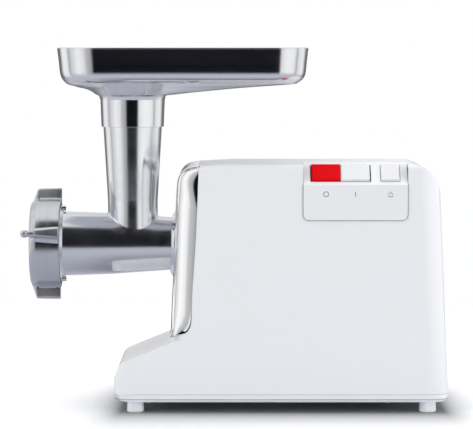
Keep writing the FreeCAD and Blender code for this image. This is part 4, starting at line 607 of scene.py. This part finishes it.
def buildGapShadows():
    # a painted shadow strip in the gap round the panel: down the left edge from the slope, round both corners and up
    # the right edge, as x and height above the panel's bottom
    low, high = boxInMm("control_panel")
    gap, radius = strips["panelGap"], strips["panelCorner"]
    left, right, bottom, side = low[0] - gap, high[0] + gap, low[2] - gap, low[1] - strips["jointProud"]
    flatTop = strips["slopeFrom"] - bottom
    angle = np.radians(np.linspace(0, 90, 13))
    corner = np.stack([left + radius - radius * np.cos(angle), radius - radius * np.sin(angle)], -1)
    half = np.vstack([[(left, flatTop + strips["slope"]), (left, flatTop)], corner])
    line = np.vstack([half, np.stack([left + right - half[::-1, 0], half[::-1, 1]], -1)])
    run = np.gradient(line, axis=0)
    normal = np.stack([-run[:, 1], run[:, 0]], -1) / np.hypot(*run.T)[:, None]
    # above the flat part the panel leans back by 45 degrees
    middle = np.stack([line[:, 0], side + np.maximum(line[:, 1] - flatTop, 0.0), line[:, 1] + bottom], -1)
    spread = np.stack([normal[:, 0], np.zeros(len(line)), normal[:, 1]], -1)
    panelGapShadow = ribbon(middle, spread, strips["joint"])

    # the painted shadow strip in the joint above the base follows a rounded rectangle
    housingLow, housingHigh = boxInMm("upper_housing")
    rounding = strips["baseCorner"]
    turn = np.radians(np.arange(0, 360, 5) + 2.5)
    centreX = np.where(np.cos(turn) > 0, housingHigh[0] - rounding, housingLow[0] + rounding)
    centreY = np.where(np.sin(turn) > 0, 1.0, -1.0) * (strips["baseReach"] + strips["jointProud"] - rounding)
    loop = np.stack([centreX + rounding * np.cos(turn), centreY + rounding * np.sin(turn),
                     np.full(len(turn), housingLow[2] - strips["baseDrop"])], -1)
    baseGapShadow = ribbon(loop, np.tile([0.0, 0.0, 1.0], (len(turn), 1)), strips["baseGapShadow"])
    # both strips are thin dark sheets of painted shadow laid where the gaps are
    return addPiece("jointShadow", [(panelGapShadow, False, False), (baseGapShadow, False, True)], "machine", "seal_rubber")


buildTray()
buildRing()
buildFaceplate()
buildSigns()
buildGapShadows()
# the joints in this print are the dark strips of painted shadow
print("tray, ring nut, faceplate, signs and joints built")


# studio, floor and camera; bearings and elevations are in degrees, 0 is behind the camera and plus is to the right

studio = {"panels": ((-150, 0.75), (-135, 0.6), (-120, 1.05), (-104, 1.0), (-95, 0.5), (-84, 0.8), (-62, 1.06),
                     (-48, 0.95), (-34, 0.55), (-21, 0.4), (21, 0.6), (28, 0.95), (48, 1.1), (70, 1.06),
                     (80, 0.9), (87, 0.5), (96, 0.95), (118, 1.05), (134, 0.55), (150, 0.8)),
          "between": 0.8, "top": 1.05, "topFrom": 40.0, "topFull": 70.0,
          "dark": (0.013, 0.014, 0.020), "darkHalfWidth": 21.0, "darkSoft": 5.0, "darkTop": 66.0, "darkTopSoft": 8.0,
          "back": 0.25, "backFrom": 136.0, "backTop": 1.4, "backSoft": (0.05, 0.02),
          "frontGain": 1.95, "rearGain": 0.88, "topGain": 0.86, "gainTurn": (75.0, 115.0)}


def buildWorld():
    # brightness = panels by bearing * (1 - overhead) + top * overhead, with a dark upright gap behind the camera
    # and a dim horizon on the far side; the camera itself sees a plain white backdrop
    world = bpy.data.worlds.new("studio")
    world.use_nodes = True
    tree = world.node_tree
    tree.nodes.clear()
    direction = tree.nodes.new("ShaderNodeTexCoord").outputs["Generated"]
    split = tree.nodes.new("ShaderNodeSeparateXYZ")
    tree.links.new(direction, split.inputs[0])
    toFront = mathNode(tree, "MULTIPLY", split.outputs[1], -1.0)
    signed = mathNode(tree, "ARCTAN2", split.outputs[0], toFront)
    azimuth = mathNode(tree, "ABSOLUTE", signed)
    elevation = mathNode(tree, "ARCSINE", split.outputs[2])
    panels = tree.nodes.new("ShaderNodeValToRGB")
    panels.color_ramp.interpolation = "EASE"
    stops = panels.color_ramp.elements
    stops[0].color = stops[1].color = (studio["between"],) * 3 + (1.0,)
    for bearing, level in studio["panels"]:
        stops.new((bearing + 180.0) / 360.0).color = (level, level, level, 1.0)
    tree.links.new(rangeNode(tree, signed, -math.pi, math.pi), panels.inputs[0])
    half, soft = math.radians(studio["darkHalfWidth"]), math.radians(studio["darkSoft"])
    top, topSoft = math.radians(studio["darkTop"]), math.radians(studio["darkTopSoft"])
    across = rangeNode(tree, azimuth, half - soft / 2, half + soft / 2, 1.0, 0.0)
    upward = rangeNode(tree, elevation, top - topSoft / 2, top + topSoft / 2, 1.0, 0.0)
    gap = mathNode(tree, "MULTIPLY", across, upward)
    above = rangeNode(tree, elevation, math.radians(studio["topFrom"]), math.radians(studio["topFull"]))
    sides = mathNode(tree, "MULTIPLY", panels.outputs[0], mathNode(tree, "SUBTRACT", 1.0, above))
    fill = mathNode(tree, "ADD", sides, mathNode(tree, "MULTIPLY", above, studio["top"]))
    backFrom, backTop = math.radians(studio["backFrom"]), math.radians(studio["backTop"])
    wide, rise = studio["backSoft"]
    behind = mathNode(tree, "MULTIPLY", rangeNode(tree, azimuth, backFrom - wide, backFrom + wide),
                      rangeNode(tree, elevation, backTop - rise, backTop + rise, 1.0, 0.0))
    fill = mathNode(tree, "MULTIPLY", fill, mathNode(tree, "MULTIPLY_ADD", behind, studio["back"] - 1.0, 1.0))
    path = tree.nodes.new("ShaderNodeLightPath")
    # light that falls on plain surfaces: more from the front, less from the rear and from above
    turnFrom, turnTo = (math.radians(bearing) for bearing in studio["gainTurn"])
    around = rangeNode(tree, azimuth, turnFrom, turnTo, studio["frontGain"], studio["rearGain"])
    strength = mixNumber(tree, above, around, studio["topGain"])
    gain = mathNode(tree, "MULTIPLY_ADD", path.outputs["Is Diffuse Ray"],
                    mathNode(tree, "SUBTRACT", strength, 1.0), 1.0)
    lit = tree.nodes.new("ShaderNodeBackground")
    tree.links.new(mixColour(tree, gap, (1.0, 1.0, 1.0), studio["dark"]), lit.inputs["Color"])
    tree.links.new(mathNode(tree, "MULTIPLY", fill, gain), lit.inputs["Strength"])
    backdrop = tree.nodes.new("ShaderNodeBackground")
    backdrop.inputs["Color"].default_value = (1.0, 1.0, 1.0, 1.0)
    mix = tree.nodes.new("ShaderNodeMixShader")
    tree.links.new(path.outputs["Is Camera Ray"], mix.inputs[0])
    tree.links.new(lit.outputs[0], mix.inputs[1])
    tree.links.new(backdrop.outputs[0], mix.inputs[2])
    tree.links.new(mix.outputs[0], tree.nodes.new("ShaderNodeOutputWorld").inputs[0])
    bpy.context.scene.world = world


# this table also sets the floor's painted shadow round the base and its painted glow away from the base
stage = {"radius": 1.1, "fade": 0.55, "colour": (0.93, 0.935, 0.955), "inMirror": (0.52, 0.53, 0.60),
         "rough": 0.6, "specular": 0.1, "lift": 0.21, "shade": 0.76, "paintedShadowReach": (0.018, 0.07), "paintedShadowInset": 0.004}


def buildFloor():
    # a round pale floor that thins out towards its edge; a painted shadow darkens it round the base as
    # 1 - shade * exp(-distance), with the distance from the base's rectangle counted in reaches along X and Y;
    # light bounced off the floor doesn't take this painted shadow
    bpy.ops.mesh.primitive_circle_add(vertices=96, radius=stage["radius"], fill_type="NGON")
    floor = bpy.context.object
    floor.name = "floor"
    material = bpy.data.materials.new("pale_floor")
    material.use_nodes = True
    tree = material.node_tree
    shader = tree.nodes["Principled BSDF"]
    here = tree.nodes.new("ShaderNodeTexCoord").outputs["Object"]
    split = tree.nodes.new("ShaderNodeSeparateXYZ")
    tree.links.new(here, split.inputs[0])
    low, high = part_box("base_plate")
    beyond = []
    for axis in (0, 1):
        middle, half = (low[axis] + high[axis]) / 2, (high[axis] - low[axis]) / 2 - stage["paintedShadowInset"]
        offset = mathNode(tree, "ABSOLUTE", mathNode(tree, "SUBTRACT", split.outputs[axis], middle))
        outside = mathNode(tree, "MAXIMUM", mathNode(tree, "SUBTRACT", offset, half), 0.0)
        beyond.append(mathNode(tree, "POWER", mathNode(tree, "DIVIDE", outside, stage["paintedShadowReach"][axis]), 2.0))
    distance = mathNode(tree, "SQRT", mathNode(tree, "ADD", *beyond))
    paintedShadowFalloff = mathNode(tree, "EXPONENT", mathNode(tree, "MULTIPLY", distance, -1.0))
    path = tree.nodes.new("ShaderNodeLightPath")
    seen = mathNode(tree, "SUBTRACT", 1.0, path.outputs["Is Diffuse Ray"])
    # painted shadow: the floor's colour is darkened near the base, as seen by the camera and in reflections
    shade = mathNode(tree, "MULTIPLY", mathNode(tree, "MULTIPLY", paintedShadowFalloff, stage["shade"]), seen)
    pale = mixColour(tree, path.outputs["Is Glossy Ray"], stage["colour"], stage["inMirror"])
    tree.links.new(mixColour(tree, shade, pale, (0.0, 0.0, 0.0)), shader.inputs["Base Color"])
    shader.inputs["Roughness"].default_value = stage["rough"]
    shader.inputs["Specular IOR Level"].default_value = stage["specular"]
    # painted light: the floor glows a little plain white away from the base, seen by the camera only
    clear = mathNode(tree, "MULTIPLY", mathNode(tree, "SUBTRACT", 1.0, paintedShadowFalloff), path.outputs["Is Camera Ray"])
    tree.links.new(mixColour(tree, clear, (0.0, 0.0, 0.0), (1.0, 1.0, 1.0)), shader.inputs["Emission Color"])
    shader.inputs["Emission Strength"].default_value = stage["lift"]
    length = vectorNode(tree, "LENGTH", here, (0, 0, 0)).node.outputs["Value"]
    alpha = rangeNode(tree, length, stage["fade"], stage["radius"], 1.0, 0.0)
    tree.links.new(alpha, shader.inputs["Alpha"])
    floor.data.materials.append(material)


softbox = {"place": (-0.1, 0.15, 1.7), "aim": (0.0, 0.0, 0.15), "size": (1.5, 1.1), "power": 7.0}


def addSoftbox():
    # a wide lamp above that metal doesn't mirror
    data = bpy.data.lights.new("overhead_softbox", "AREA")
    data.shape = "RECTANGLE"
    data.size, data.size_y = softbox["size"]
    data.energy = softbox["power"]
    lamp = bpy.data.objects.new("overhead_softbox", data)
    bpy.context.scene.collection.objects.link(lamp)
    lamp.location = softbox["place"]
    direction = Vector(softbox["place"]) - Vector(softbox["aim"])
    lamp.rotation_euler = direction.to_track_quat("Z", "Y").to_euler()
    lamp.visible_glossy = False


view = {"place": (0.002, -2.6948, 0.3575), "tilt": 86.45, "lens": 205.5, "sensor": 36.0}


def addCamera():
    data = bpy.data.cameras.new("camera")
    data.lens, data.sensor_width = view["lens"], view["sensor"]
    camera = bpy.data.objects.new("camera", data)
    bpy.context.scene.collection.objects.link(camera)
    camera.location = view["place"]
    camera.rotation_euler = (math.radians(view["tilt"]), 0.0, 0.0)
    bpy.context.scene.camera = camera


buildWorld()
buildFloor()
addSoftbox()
addCamera()
bpy.context.scene.view_settings.view_transform = "Standard"
print("studio set")
